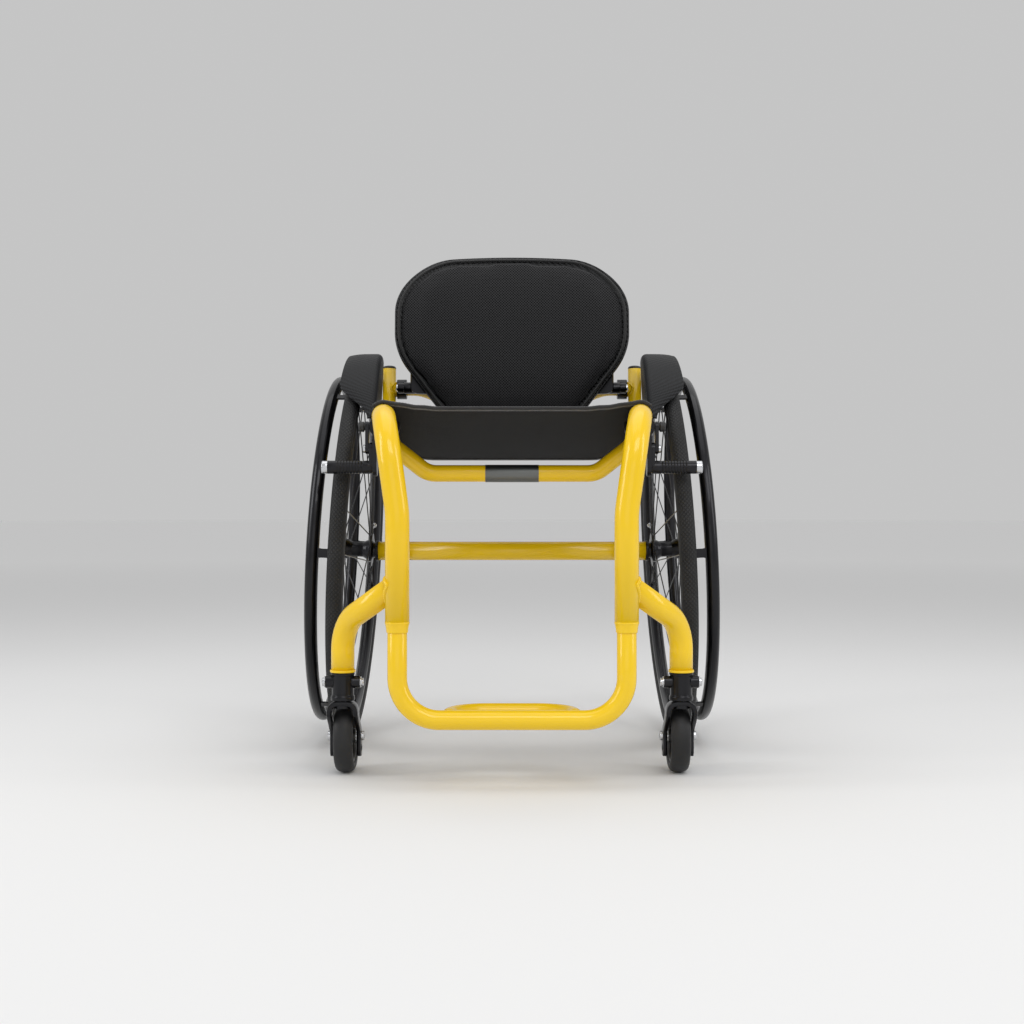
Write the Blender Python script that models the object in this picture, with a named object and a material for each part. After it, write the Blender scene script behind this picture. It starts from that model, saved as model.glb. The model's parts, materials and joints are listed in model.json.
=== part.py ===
"""Rigid active wheelchair: bent tube frame, cambered spoked wheels, casters and a folding shell back.

Metres, +Z up. The chair faces -Y and the occupant's left side is +X. The origin is on the floor at the
middle of the chair. Each left-hand piece is modelled once, and its right-hand twin is its mirror image.
"""

import math

import bmesh
import bpy
from mathutils import Matrix, Vector

# Clearances and fineness
GAP = 0.0003                          # between pieces that touch
RUNNING_GAP = 0.0004                  # round a pin or shaft that turns
ARC_STEP = math.radians(23)           # largest turn between two points of a bend
TUBE_SIDES = 10
PIN_SIDES = 12
SMOOTH_ANGLE = math.radians(35)

# Rear wheels
WHEEL_RADIUS = 0.305
WHEEL_SEGMENTS = 32
HALF_TRACK = 0.2485                   # wheel plane from the chair's middle, at axle height
CAMBER = math.radians(3)
TYRE_WIDTH = 0.025
TYRE_BASE_ANGLE = math.radians(150)   # where the round tyre section meets the rim
RIM_HALF_WIDTH = 0.0095
RIM_SHOULDER = 0.009                  # drop from the rim's bed to its widest place
RIM_DEPTH = 0.0164
RIM_SPOKE_HALF_WIDTH = 0.0045
HUB_SIDES = 12
HUB_HALF_LENGTH = 0.030
HUB_END_RADIUS = 0.0125
HUB_BODY_RADIUS = 0.0155
FLANGE_RADIUS = 0.0265
FLANGE_OFFSET = 0.022                 # spoke circle from the wheel plane, along the axle
FLANGE_THICKNESS = 0.003
SPOKES_PER_FLANGE = 8
SPOKE_RADIUS = 0.0013
SPOKE_SIDES = 5
SPOKE_RIM_OFFSET = 0.002
SPOKE_LACING = math.radians(14)       # how far a spoke leans round the hub from its place on the rim
HANDRIM_INSET = 0.038                 # of its ring inside the tyre's outside
HANDRIM_TUBE = 0.0095
HANDRIM_SIDES = 7
HANDRIM_OFFSET = 0.037
HANDRIM_TABS = 6
TAB_THICKNESS = 0.003
TAB_WIDTH = 0.016

# Quick-release axle
PIN_RADIUS = 0.0063
PIN_REACH = 0.070                     # inwards from the wheel plane
PIN_CAP_RADIUS = 0.0105
PIN_CAP_HEIGHT = 0.006
BUTTON_RADIUS = 0.0045
BUTTON_TRAVEL = 0.003
BUTTON_STAND = 0.0042                 # how far the button stands out of its cap
BUTTON_GUIDE = 0.0015                 # of its length inside the cap at rest

# Side frame tubes
AXLE_TO_FRONT = 0.450                 # rear axle forward to the down tubes
MAIN_RADIUS = 0.016
MAIN_WALL = 0.002
FRONT_HALF_WIDTH = 0.1495
KNEE_HALF_WIDTH = 0.169
RAIL_INSET = 0.044                    # rear end of the rail, inwards from the wheel plane
KNEE_HEIGHT = 0.5025
REAR_HEIGHT = 0.437
KINK_HEIGHT = 0.362
DOWN_TUBE_END = 0.211
RAIL_BEHIND_AXLE = 0.075
KNEE_BEND = 0.075
KINK_BEND = 0.150

# Plugs in the open tube ends
CAP_DEPTH = 0.008
CAP_HEIGHT = 0.0054

# Front cross tube under the seat
CROSS_RADIUS = 0.012
CROSS_WALL = 0.0018
CROSS_BEHIND_FRONT = 0.182
CROSS_SHOULDER = (0.0135, 0.4555)     # in from the rail, and height, of the upper bend
CROSS_SHOULDER_BEND = 0.020
CROSS_DROP = (0.120, 0.418)           # half-width and height of the lower bend
CROSS_DROP_BEND = 0.035

# Rear axle tube, its stems and the camber plugs in its ends
AXLE_TUBE_RADIUS = 0.015
AXLE_TUBE_WALL = 0.0022
AXLE_TUBE_INSET = 0.0335              # of its ends, inwards from the wheel plane
AXLE_CROSSING_INSET = 0.020           # from its end in to where the wheel axis crosses its own
STEM_RADIUS = 0.0125
STEM_WALL = 0.002
STEM_INSET = 0.028                    # of the collar's middle, from the tube's end
COLLAR_HALF_LENGTH = 0.015
COLLAR_WALL = 0.0052
PLUG_LENGTH = 0.045
PLUG_HEAD_RADIUS = 0.0165

# Caster arms and casters
ARM_RADIUS = 0.016
ARM_WALL = 0.002
ARM_ROOT = 0.268
ARM_BEND_HEIGHT = 0.210
ARM_BEND = 0.055
ARM_END = 0.1435
ARM_RIM = 0.0015                      # the swaged rim at the arm's mouth stands out this far
ARM_RIM_HEIGHT = 0.0035
CASTER_HALF_TRACK = 0.232
CASTER_BEHIND_FRONT = 0.10
HOUSING_RADIUS = 0.0165
HOUSING_BOTTOM = 0.105
HOUSING_CEILING = 0.1385
BEARING_OUTER = 0.0125
BEARING_HEIGHT = 0.007
BEARING_SPACING = 0.0225
BARREL_RADIUS = 0.0085
BARREL_HALF = 0.024
BARREL_HEIGHT = 0.130
BOLT_HEAD_RADIUS = 0.006
BOLT_HEAD_HEIGHT = 0.0047
STEM_PIN_RADIUS = 0.006
STEM_NUT_RADIUS = 0.0095
STEM_NUT_HEIGHT = 0.0025
CASTER_RADIUS = 0.0508
CASTER_SEGMENTS = 20
CASTER_TRAIL = 0.040
CASTER_HALF_WIDTH = 0.0140
CASTER_BEAD = 0.84                    # these three are shares of that half-width
CASTER_SHOULDER = 0.7
CASTER_CROWN = 0.25
CASTER_CROWN_DROP = 0.0018            # from the crown to the shoulder
CASTER_WEB_HALF = 0.006
CASTER_RIM_HALF = 0.0115
CASTER_RIM_RADIUS = 0.0368
CASTER_HUB_RADIUS = 0.0105
CASTER_HUB_HALF = 0.0135
CASTER_AXLE_RADIUS = 0.004
CASTER_HEAD_RADIUS = 0.0068
CASTER_HEAD_HEIGHT = 0.0044
FORK_INNER = 0.0155
FORK_THICKNESS = 0.006
FORK_LEG_TOP = 0.083
FORK_CROWN_INNER = 0.0985
FORK_CROWN_TOP = 0.1043
FORK_BEND_HEIGHT = 0.0885             # above it the fork is under the stem, below it trails
FORK_SPARE_HOLE = 0.033               # height of the second axle hole
FORK_SPARE_RADIUS = 0.0032
FORK_BOSS_RADIUS = 0.0125
FORK_BOSS_BOTTOM = 0.094
FORK_LEG_STATIONS = ((0.0215, 0.006), (0.028, 0.0095), (0.0508, 0.0105))    # height and half-depth
FORK_SHOULDER_DEPTH = 0.0115
FORK_CROWN_DEPTH = 0.014
FORK_SQUARENESS = 0.65                # of its shoulders: 1 is a round arch, less is squarer

# Footrest
FOOT_WALL = 0.0018
FOOT_HEIGHT = 0.0918
FOOT_BEND = 0.055
FOOT_INSERTION = 0.085
LOOP_RADIUS = 0.011
LOOP_WALL = 0.0016
LOOP_HALF_WIDTH = 0.083
LOOP_DEPTH = 0.085
LOOP_BEND = 0.050

# Seat sling
SLING_THICKNESS = 0.003
SLING_FRONT = 0.07                    # from the down tubes back to its front edge
SLING_BEHIND_AXLE = 0.03
SLING_SAG = 0.010
SLING_SLOPE_WIDTH = 0.070             # from the rail in to the level middle
SLING_OUTER_WRAP = math.radians(45)
SLING_INNER_WRAP = math.radians(8)

# Back uprights, cross bar and folding back
UPRIGHT_RADIUS = 0.011
UPRIGHT_WALL = 0.0018
UPRIGHT_BEHIND_AXLE = 0.055
UPRIGHT_ABOVE_PIVOT = 0.034
UPRIGHT_LEAN = math.radians(4)
BACK_BAR_RADIUS = 0.0105
BACK_BAR_WALL = 0.0018
BACK_BAR_STRAIGHT = 0.051             # from the upright in to the first bend
BACK_BAR_MIDDLE = 0.085
BACK_BAR_BOW = 0.065
BACK_BAR_DROP = 0.021
BACK_BAR_BEND = 0.030
PIVOT_HEIGHT = 0.566
PIVOT_AHEAD = 0.026                   # of the cross bar
PIVOT_RADIUS = 0.004
CLAMP_INSET = 0.0305                  # this and the next insets are from the rail's rear end
CLAMP_LENGTH = 0.016
CLAMP_WALL = 0.0055
CLAMP_PLATE_INSET = 0.0275
CLAMP_PLATE_THICKNESS = 0.010
CLAMP_PLATE_RADIUS = 0.0085
SHELL_AHEAD_OF_EAR = 0.0138           # its front face ahead of the pivot, beside the ear
SHELL_THICKNESS = 0.004
SHELL_INSET = 0.0155
SHELL_WRAP = 0.050                    # how far the sides come forward of the middle
SHELL_LEAN = math.radians(5)
SHELL_BOTTOM_HALF_WIDTH = 0.105
SHELL_BOTTOM = -0.054                 # heights over the pivot
SHELL_LOW_SIDE = 0.056
SHELL_TOP = 0.217
SHELL_BOTTOM_BEND = 0.040
SHELL_SIDE_BEND = 0.100
SHELL_TOP_BEND = 0.092
OUTLINE_STEP = math.radians(15)
SHELL_COLUMNS = 8
PAD_INSET = 0.004
PAD_EDGE = 0.008
PAD_THICKNESS = 0.022
PATCH_WIDTH = 0.056
PATCH_PAST_EAR = 0.008
PATCH_BOTTOM = -0.010
PATCH_TOP = 0.034
PATCH_THICKNESS = 0.004
EAR_INSET = 0.0465
EAR_RADIUS = 0.0095

# Side guards
GUARD_THICKNESS = 0.0025
GUARD_RAIL_GAP = 0.0005
GUARD_TYRE_GAP = 0.0093
GUARD_FRONT_ANGLE = math.radians(39)
GUARD_REAR_ANGLE = math.radians(95.5)
GUARD_FLANGE_ANGLE = math.radians(54)
GUARD_COLUMNS = 8
GUARD_FRONT = 0.25                    # lower edge, ahead of the axle
GUARD_REAR = 0.03                     # lower edge, behind the axle
GUARD_BELOW_RAIL = 0.004
GUARD_CORNER = 0.008
GUARD_PAST_WHEEL = 0.0075             # edge of its flange, outwards from the wheel plane
GUARD_LIP = 0.003

# Wheel locks
SHOE_CLEARANCE = 0.0082
SHOE_BAR_RADIUS = 0.0095
SHOE_BAR_DROP = 0.0765                # below the height of the side tubes' knee
SHOE_BAR_PAST_WHEEL = 0.0195
LOCK_ARM = 0.026                      # from the shoe bar up to the lever's pivot
LOCK_PLATE_OFFSET = 0.0103            # from the rail's middle out to the plate
LOCK_PLATE_THICKNESS = 0.006
LOCK_PLATE_RADIUS = 0.013
LOCK_CLAMP_WALL = 0.0052
LOCK_CLAMP_LENGTH = 0.024
LOCK_PIN_RADIUS = 0.003
LINK_THICKNESS = 0.005
SHOE_ARM_RADIUS = 0.009
LEVER_LENGTH = 0.031
LEVER_RADIUS = 0.0075
KNOB_RADIUS = 0.0075
KNOB_LENGTH = 0.015

# Places worked out from the sizes above
WHEEL_FLAT = math.cos(math.pi / WHEEL_SEGMENTS)
AXLE_Y = (AXLE_TO_FRONT + MAIN_RADIUS - WHEEL_RADIUS * WHEEL_FLAT) / 2
FRONT_Y = AXLE_Y - AXLE_TO_FRONT
CASTER_Y = FRONT_Y + CASTER_BEHIND_FRONT
FOOT_RADIUS = MAIN_RADIUS * math.cos(math.pi / TUBE_SIDES) - MAIN_WALL - GAP
REAR_HALF_WIDTH = HALF_TRACK - RAIL_INSET
AXLE_TUBE_HALF = HALF_TRACK - AXLE_TUBE_INSET
AXLE_CROSSING = AXLE_TUBE_HALF - AXLE_CROSSING_INSET
STEM_FOOT = AXLE_TUBE_HALF - STEM_INSET
CLAMP_INNER = REAR_HALF_WIDTH - CLAMP_INSET
CLAMP_PLATE_INNER = REAR_HALF_WIDTH - CLAMP_PLATE_INSET
EAR_INNER = REAR_HALF_WIDTH - EAR_INSET
PATCH_OUTER = EAR_INNER + PATCH_PAST_EAR
PATCH_INNER = PATCH_OUTER - PATCH_WIDTH
SHELL_HALF_WIDTH = REAR_HALF_WIDTH - SHELL_INSET
SHELL_COLUMN = 2 * SHELL_HALF_WIDTH / SHELL_COLUMNS
HANDRIM_RADIUS = WHEEL_RADIUS - HANDRIM_INSET
SHOE_BAR_HEIGHT = KNEE_HEIGHT - SHOE_BAR_DROP
CASTER_AXLE_Z = CASTER_RADIUS * math.cos(math.pi / CASTER_SEGMENTS)
TYRE_SECTION = TYRE_WIDTH / 2
TYRE_MIDDLE = WHEEL_RADIUS - TYRE_SECTION
TYRE_BASE = TYRE_MIDDLE + TYRE_SECTION * math.cos(TYRE_BASE_ANGLE)
RIM_BED = TYRE_BASE - GAP
RIM_INNER = RIM_BED - RIM_DEPTH

# Colour, roughness and metallic value of each finish
FINISHES = {
    "yellow_paint": ((0.72, 0.42, 0.008), 0.32, 0.0),
    "black_anodised": ((0.02, 0.02, 0.022), 0.38, 0.8),
    "polished_metal": ((0.55, 0.56, 0.58), 0.22, 1.0),
    "carbon_fibre": ((0.015, 0.015, 0.017), 0.3, 0.1),
    "tyre_rubber": ((0.012, 0.012, 0.012), 0.8, 0.0),
    "caster_rubber": ((0.014, 0.014, 0.014), 0.7, 0.0),
    "black_plastic": ((0.012, 0.012, 0.012), 0.55, 0.0),
    "seat_fabric": ((0.014, 0.014, 0.015), 0.9, 0.0),
    "back_fabric": ((0.02, 0.02, 0.021), 0.92, 0.0),
}


def clear_scene():
    """Remove every object that the open file holds."""
    for thing in list(bpy.data.objects):
        bpy.data.objects.remove(thing, do_unlink=True)


def shape(mesh):
    """Link a mesh to the scene as a new object."""
    thing = bpy.data.objects.new("shape", mesh)
    bpy.context.scene.collection.objects.link(thing)
    return thing


def shape_from(bm, place=Matrix()):
    """Turn a bmesh into an object, with its faces pointing outwards."""
    bm.transform(place)
    bm.normal_update()
    bmesh.ops.recalc_face_normals(bm, faces=bm.faces)
    mesh = bpy.data.meshes.new("shape")
    bm.to_mesh(mesh)
    bm.free()
    return shape(mesh)


def evaluated_mesh(thing):
    """The object's mesh with its modifiers or its bevel worked in."""
    return bpy.data.meshes.new_from_object(thing.evaluated_get(bpy.context.evaluated_depsgraph_get()))


def combine(target, tool, operation):
    """Join a tool to a shape, or cut it out, and take the tool away."""
    modifier = target.modifiers.new("combine", "BOOLEAN")
    modifier.operation = operation
    modifier.solver = "EXACT"
    modifier.object = tool
    mesh = evaluated_mesh(target)
    target.modifiers.clear()
    target.data = mesh
    bpy.data.objects.remove(tool, do_unlink=True)
    return target


def join(target, *tools):
    for tool in tools:
        combine(target, tool, "UNION")
    return target


def cut(target, *tools):
    for tool in tools:
        combine(target, tool, "DIFFERENCE")
    return target


def mirrored(thing, keep=True):
    """The same shape on the chair's other side."""
    bm = bmesh.new()
    bm.from_mesh(thing.data)
    if not keep:
        bpy.data.objects.remove(thing, do_unlink=True)
    return shape_from(bm, Matrix.Scale(-1, 4, (1, 0, 0)))


def rounded_path(corners, bends, arc_step=ARC_STEP):
    """Points along straight runs with an arc at each inner corner, one bend radius for each."""
    corners = [Vector(corner) for corner in corners]
    points = [corners[0]]
    for before, corner, after, radius in zip(corners, corners[1:], corners[2:], bends):
        arriving = (corner - before).normalized()
        leaving = (after - corner).normalized()
        turn = arriving.angle(leaving)
        centre = corner + (leaving - arriving).normalized() * radius / math.cos(turn / 2)
        start = corner - arriving * radius * math.tan(turn / 2)
        axis = arriving.cross(leaving).normalized()
        steps = max(2, math.ceil(turn / arc_step))
        for step in range(steps + 1):
            points.append(centre + Matrix.Rotation(turn * step / steps, 3, axis) @ (start - centre))
    points.append(corners[-1])
    return points


def swept(path, radius, sides=TUBE_SIDES, solid=True):
    """A round section drawn along a path, as a solid bar or as an open skin."""
    curve = bpy.data.curves.new("path", "CURVE")
    curve.dimensions = "3D"
    curve.bevel_depth = radius
    curve.bevel_resolution = sides // 2 - 2
    curve.use_fill_caps = solid
    spline = curve.splines.new("POLY")
    spline.points.add(len(path) - 1)
    for point, place in zip(spline.points, path):
        point.co = (*place, 1.0)
    guide = bpy.data.objects.new("path", curve)
    bpy.context.scene.collection.objects.link(guide)
    bm = bmesh.new()
    bm.from_mesh(evaluated_mesh(guide))
    bpy.data.objects.remove(guide, do_unlink=True)
    bmesh.ops.remove_doubles(bm, verts=bm.verts, dist=1e-6)
    return shape_from(bm)


def pipe(path, radius, wall, sides=TUBE_SIDES):
    """A round tube with an open bore, bent along a path."""
    tube = swept(path, radius, sides, solid=False)
    skin = tube.modifiers.new("wall", "SOLIDIFY")
    skin.thickness = wall
    skin.offset = -1
    skin.use_even_offset = True
    tube.data = evaluated_mesh(tube)
    tube.modifiers.clear()
    return tube


def turned(profile, sides, place=Matrix(), ring=False):
    """Points of (radius, height) spun about the local Z axis, with a flat facing local X."""
    bm = bmesh.new()
    start = Matrix.Rotation(math.pi / sides, 3, "Z")
    verts = [bm.verts.new(start @ Vector((radius, 0.0, height))) for radius, height in profile]
    edges = [bm.edges.new(pair) for pair in zip(verts, verts[1:])]
    if ring:
        edges.append(bm.edges.new((verts[-1], verts[0])))
    bmesh.ops.spin(bm, geom=verts + edges, cent=(0, 0, 0), axis=(0, 0, 1), angle=2 * math.pi,
                   steps=sides, use_merge=True)
    bmesh.ops.remove_doubles(bm, verts=bm.verts, dist=1e-6)
    return shape_from(bm, place)


def facing(place, direction):
    """A frame at a place whose local Z axis points along a direction."""
    return Matrix.Translation(place) @ Vector(direction).to_track_quat("Z", "Y").to_matrix().to_4x4()


def rod(start, end, radius, sides=PIN_SIDES):
    """A solid round bar from one point to another."""
    run = Vector(end) - Vector(start)
    profile = [(0, 0), (radius, 0), (radius, run.length), (0, run.length)]
    return turned(profile, sides, facing(start, run))


def band(inner, outer, start, end, sides=PIN_SIDES):
    """A straight ring from one point to another."""
    run = Vector(end) - Vector(start)
    profile = [(inner, 0), (outer, 0), (outer, run.length), (inner, run.length)]
    return turned(profile, sides, facing(start, run), ring=True)


def loft(sections):
    """Closed sections with the same number of points, skinned in order and capped at both ends."""
    bm = bmesh.new()
    loops = [[bm.verts.new(point) for point in section] for section in sections]
    for near, far in zip(loops, loops[1:]):
        for index in range(len(near)):
            after = (index + 1) % len(near)
            bm.faces.new((near[index], near[after], far[after], far[index]))
    bm.faces.new(loops[0])
    bm.faces.new(loops[-1])
    return shape_from(bm)


def link_plate(start, end, radius, inner, outer):
    """A flat link with round ends between two (y, z) centres, from x = inner to x = outer."""
    heading = math.atan2(end[1] - start[1], end[0] - start[0])
    steps = 4
    outline = []
    for centre, first in ((end, heading - math.pi / 2), (start, heading + math.pi / 2)):
        for step in range(steps + 1):
            angle = first + math.pi * step / steps
            outline.append((centre[0] + radius * math.cos(angle), centre[1] + radius * math.sin(angle)))
    return loft([[(x, y, z) for y, z in outline] for x in (inner, outer)])


def block(low, high):
    """A box from its lowest to its highest corner."""
    (x0, y0, z0), (x1, y1, z1) = low, high
    return loft([[(x0, y0, z), (x1, y0, z), (x1, y1, z), (x0, y1, z)] for z in (z0, z1)])


def round_about(radius, sides=PIN_SIDES, gap=GAP):
    """Corner radius of a faceted bore whose flats clear a bar of the given radius."""
    return (radius + gap) / math.cos(math.pi / sides)


def inside(radius, wall, sides=TUBE_SIDES, gap=GAP):
    """Radius of a bar that fits the bore of a faceted tube."""
    return radius * math.cos(math.pi / sides) - wall - gap


def finish(thing, name, finish_name, joint=None):
    """Name a piece, give it its finish and smooth shading, and hang it on its joint."""
    thing.name = name
    thing.data.name = name
    material = bpy.data.materials.get(finish_name)
    if material is None:
        colour, roughness, metallic = FINISHES[finish_name]
        material = bpy.data.materials.new(finish_name)
        material.use_nodes = True
        shader = material.node_tree.nodes["Principled BSDF"]
        shader.inputs["Base Color"].default_value = (*colour, 1.0)
        shader.inputs["Roughness"].default_value = roughness
        shader.inputs["Metallic"].default_value = metallic
    thing.data.materials.clear()
    thing.data.materials.append(material)
    thing.data.shade_smooth()
    thing.data.set_sharp_from_angle(angle=SMOOTH_ANGLE)
    if joint is not None:
        thing.parent = joint
        thing.matrix_parent_inverse = joint.matrix_basis.inverted()
    return thing


def pair(thing, name, finish_name, joints=(None, None)):
    """A left-hand piece and its mirror image, each on its own joint."""
    twin = mirrored(thing)
    finish(thing, name + "_left", finish_name, joints[0])
    finish(twin, name + "_right", finish_name, joints[1])


def joint_marker(name, place, axis=(0, 0, 1), parent=None):
    """An empty on a joint's axis, with its Z axis along it."""
    marker = bpy.data.objects.new(name, None)
    bpy.context.scene.collection.objects.link(marker)
    marker.empty_display_size = 0.03
    marker.matrix_basis = facing(place, axis)
    if parent is not None:
        marker.parent = parent
        marker.matrix_parent_inverse = parent.matrix_basis.inverted()
    return marker


def joint_pair(name, place, axis, parents=(None, None)):
    """Markers for a joint of the left side and its twin."""
    x, y, z = place
    a, b, c = axis
    left = joint_marker(name + "_left", (x, y, z), (a, b, c), parents[0])
    right = joint_marker(name + "_right", (-x, y, z), (-a, b, c), parents[1])
    return left, right


def tyre_profile():
    """The tyre's round section as (radius, offset) points, open where it sits on the rim."""
    steps = 6
    angles = [TYRE_BASE_ANGLE * (2 * step / steps - 1) for step in range(steps + 1)]
    return [(TYRE_MIDDLE + TYRE_SECTION * math.cos(angle), TYRE_SECTION * math.sin(angle)) for angle in angles]


def wheel_height():
    """Height of the wheel centre that sets the lowest facet of the leaning tyre on the floor."""
    lean = math.cos(CAMBER)
    return max(radius * WHEEL_FLAT * lean - offset * math.sin(CAMBER) for radius, offset in tyre_profile())


AXLE_Z = wheel_height()
AXLE_TUBE_Z = AXLE_Z - (HALF_TRACK - AXLE_CROSSING) * math.tan(CAMBER)
WHEEL_CENTRE = Vector((HALF_TRACK, AXLE_Y, AXLE_Z))
OUTWARDS = Vector((math.cos(CAMBER), 0.0, math.sin(CAMBER)))
UPWARDS = Vector((-math.sin(CAMBER), 0.0, math.cos(CAMBER)))
FORWARDS = OUTWARDS.cross(UPWARDS)
WHEEL_FRAME = Matrix.Translation(WHEEL_CENTRE) @ Matrix((UPWARDS, FORWARDS, OUTWARDS)).transposed().to_4x4()


def on_wheel(radius, angle, offset):
    """A point of the left wheel: angle from straight up, offset outwards along the axle."""
    return WHEEL_FRAME @ Vector((radius * math.cos(angle), radius * math.sin(angle), offset))


def rail_at(y):
    """The middle of the left seat rail at a distance y along the chair."""
    knee = Vector((KNEE_HALF_WIDTH, FRONT_Y, KNEE_HEIGHT))
    rear = Vector((REAR_HALF_WIDTH, AXLE_Y + RAIL_BEHIND_AXLE, REAR_HEIGHT))
    return knee.lerp(rear, (y - FRONT_Y) / (AXLE_TO_FRONT + RAIL_BEHIND_AXLE))


def main_path():
    """Seat rail from the back, round the knee, and down to the footrest."""
    corners = [
        (REAR_HALF_WIDTH, AXLE_Y + RAIL_BEHIND_AXLE, REAR_HEIGHT),
        (KNEE_HALF_WIDTH, FRONT_Y, KNEE_HEIGHT),
        (FRONT_HALF_WIDTH, FRONT_Y, KINK_HEIGHT),
        (FRONT_HALF_WIDTH, FRONT_Y, DOWN_TUBE_END),
    ]
    return rounded_path(corners, [KNEE_BEND, KINK_BEND])


def main_cutter():
    """The main tube as a solid, a gap larger, to cope the pieces that meet it."""
    return swept(main_path(), MAIN_RADIUS + GAP)


def make_main_tubes():
    pair(pipe(main_path(), MAIN_RADIUS, MAIN_WALL), "main_tube", "yellow_paint")


def make_front_cross_tube():
    """The dropped tube that ties the seat rails together under the seat."""
    y = FRONT_Y + CROSS_BEHIND_FRONT
    rail = rail_at(y)
    shoulder, drop = (rail.x - CROSS_SHOULDER[0], y, CROSS_SHOULDER[1]), (CROSS_DROP[0], y, CROSS_DROP[1])
    half = [(rail.x, y, rail.z), shoulder, drop]
    corners = [(-x, y, z) for x, y, z in half] + half[::-1]
    bends = [CROSS_SHOULDER_BEND, CROSS_DROP_BEND, CROSS_DROP_BEND, CROSS_SHOULDER_BEND]
    tube = pipe(rounded_path(corners, bends), CROSS_RADIUS, CROSS_WALL)
    cut(tube, main_cutter(), mirrored(main_cutter(), keep=False))
    finish(tube, "front_cross_tube", "yellow_paint")


def make_caster_arms():
    """Each arm leaves the down tube, bends and ends over its caster with a swaged rim."""
    root = Vector((FRONT_HALF_WIDTH, FRONT_Y, ARM_ROOT))
    bend = Vector((CASTER_HALF_TRACK, CASTER_Y, ARM_BEND_HEIGHT))
    mouth = Vector((CASTER_HALF_TRACK, CASTER_Y, ARM_END))
    start = root + (bend - root).normalized() * MAIN_RADIUS / 2
    arm = pipe(rounded_path([start, bend, mouth], [ARM_BEND]), ARM_RADIUS, ARM_WALL)
    rim_top = mouth + Vector((0, 0, ARM_RIM_HEIGHT))
    join(arm, band(ARM_RADIUS - ARM_WALL / 2, ARM_RADIUS + ARM_RIM, mouth, rim_top))
    pair(cut(arm, main_cutter()), "caster_arm", "yellow_paint")


def axle_tube_path():
    return [Vector((x, AXLE_Y, AXLE_TUBE_Z)) for x in (-AXLE_TUBE_HALF, AXLE_TUBE_HALF)]


def make_axle_tube():
    finish(pipe(axle_tube_path(), AXLE_TUBE_RADIUS, AXLE_TUBE_WALL), "axle_tube", "yellow_paint")


def make_axle_stems():
    """A stem drops from each rail to a collar round the axle tube."""
    foot = Vector((STEM_FOOT, AXLE_Y, AXLE_TUBE_Z))
    reach = Vector((COLLAR_HALF_LENGTH, 0, 0))
    bore = AXLE_TUBE_RADIUS - AXLE_TUBE_WALL
    stem = pipe([rail_at(AXLE_Y), foot], STEM_RADIUS, STEM_WALL)
    join(stem, band(bore, AXLE_TUBE_RADIUS + COLLAR_WALL, foot - reach, foot + reach))
    cut(stem, swept(axle_tube_path(), AXLE_TUBE_RADIUS + GAP), main_cutter())
    pair(stem, "axle_stem", "yellow_paint")


def make_camber_plugs():
    """Plugs in the axle tube's ends, bored at the camber angle for the wheel axles."""
    radius = inside(AXLE_TUBE_RADIUS, AXLE_TUBE_WALL)
    ends = [Vector((x, AXLE_Y, AXLE_TUBE_Z)) for x in (AXLE_TUBE_HALF - PLUG_LENGTH, AXLE_TUBE_HALF + 2 * GAP)]
    plug = rod(*ends, radius)
    head_start = Vector((AXLE_TUBE_HALF + GAP, AXLE_Y, AXLE_TUBE_Z))
    join(plug, rod(head_start, head_start + Vector((PLUG_LENGTH, 0, 0)), PLUG_HEAD_RADIUS))
    seat = on_wheel(0, 0, -HUB_HALF_LENGTH - GAP)
    beyond = 2 * PLUG_LENGTH
    cut(plug, rod(seat, seat + OUTWARDS * beyond, beyond), rod(seat + OUTWARDS * GAP, seat - OUTWARDS * beyond,
                                                              round_about(PIN_RADIUS)))
    pair(plug, "camber_plug", "black_anodised")


def make_axle_pins(button_joints):
    """Quick-release axle pins with their caps, and the push button in each cap."""
    cap = HUB_HALF_LENGTH + GAP
    pocket = round_about(BUTTON_RADIUS)
    pocket_floor = cap + PIN_CAP_HEIGHT - BUTTON_GUIDE - BUTTON_TRAVEL - GAP
    chamfer = 0.001
    profile = [
        (0, -PIN_REACH),
        (PIN_RADIUS - chamfer, -PIN_REACH),
        (PIN_RADIUS, -PIN_REACH + chamfer),
        (PIN_RADIUS, cap),
        (PIN_CAP_RADIUS, cap),
        (PIN_CAP_RADIUS, cap + PIN_CAP_HEIGHT - chamfer),
        (PIN_CAP_RADIUS - chamfer, cap + PIN_CAP_HEIGHT),
        (pocket, cap + PIN_CAP_HEIGHT),
        (pocket, pocket_floor),
        (0, pocket_floor),
    ]
    pair(turned(profile, PIN_SIDES, WHEEL_FRAME), "axle_pin", "polished_metal")
    top = cap + PIN_CAP_HEIGHT + BUTTON_STAND
    bottom = pocket_floor + BUTTON_TRAVEL + GAP
    button = [(0, bottom), (BUTTON_RADIUS, bottom), (BUTTON_RADIUS, top - chamfer),
              (BUTTON_RADIUS - chamfer, top), (0, top)]
    pair(turned(button, PIN_SIDES, WHEEL_FRAME), "axle_button", "polished_metal", button_joints)


def make_wheels(joints):
    """Tyre, rim, hub, laced spokes and handrim of each rear wheel."""
    pair(turned(tyre_profile(), WHEEL_SEGMENTS, WHEEL_FRAME, ring=True), "tyre", "tyre_rubber", joints)
    half_rim = [
        (RIM_BED, TYRE_SECTION * math.sin(TYRE_BASE_ANGLE) - GAP),
        (RIM_BED - RIM_SHOULDER, RIM_HALF_WIDTH),
        (RIM_INNER, RIM_SPOKE_HALF_WIDTH),
    ]
    rim = half_rim + [(radius, -offset) for radius, offset in reversed(half_rim)]
    pair(turned(rim, WHEEL_SEGMENTS, WHEEL_FRAME, ring=True), "rim", "black_anodised", joints)
    hub = turned(hub_profile(), HUB_SIDES, WHEEL_FRAME, ring=True)
    pair(join(hub, *spokes()), "spoked_hub", "black_anodised", joints)
    pair(handrim(), "handrim", "black_anodised", joints)


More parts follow.
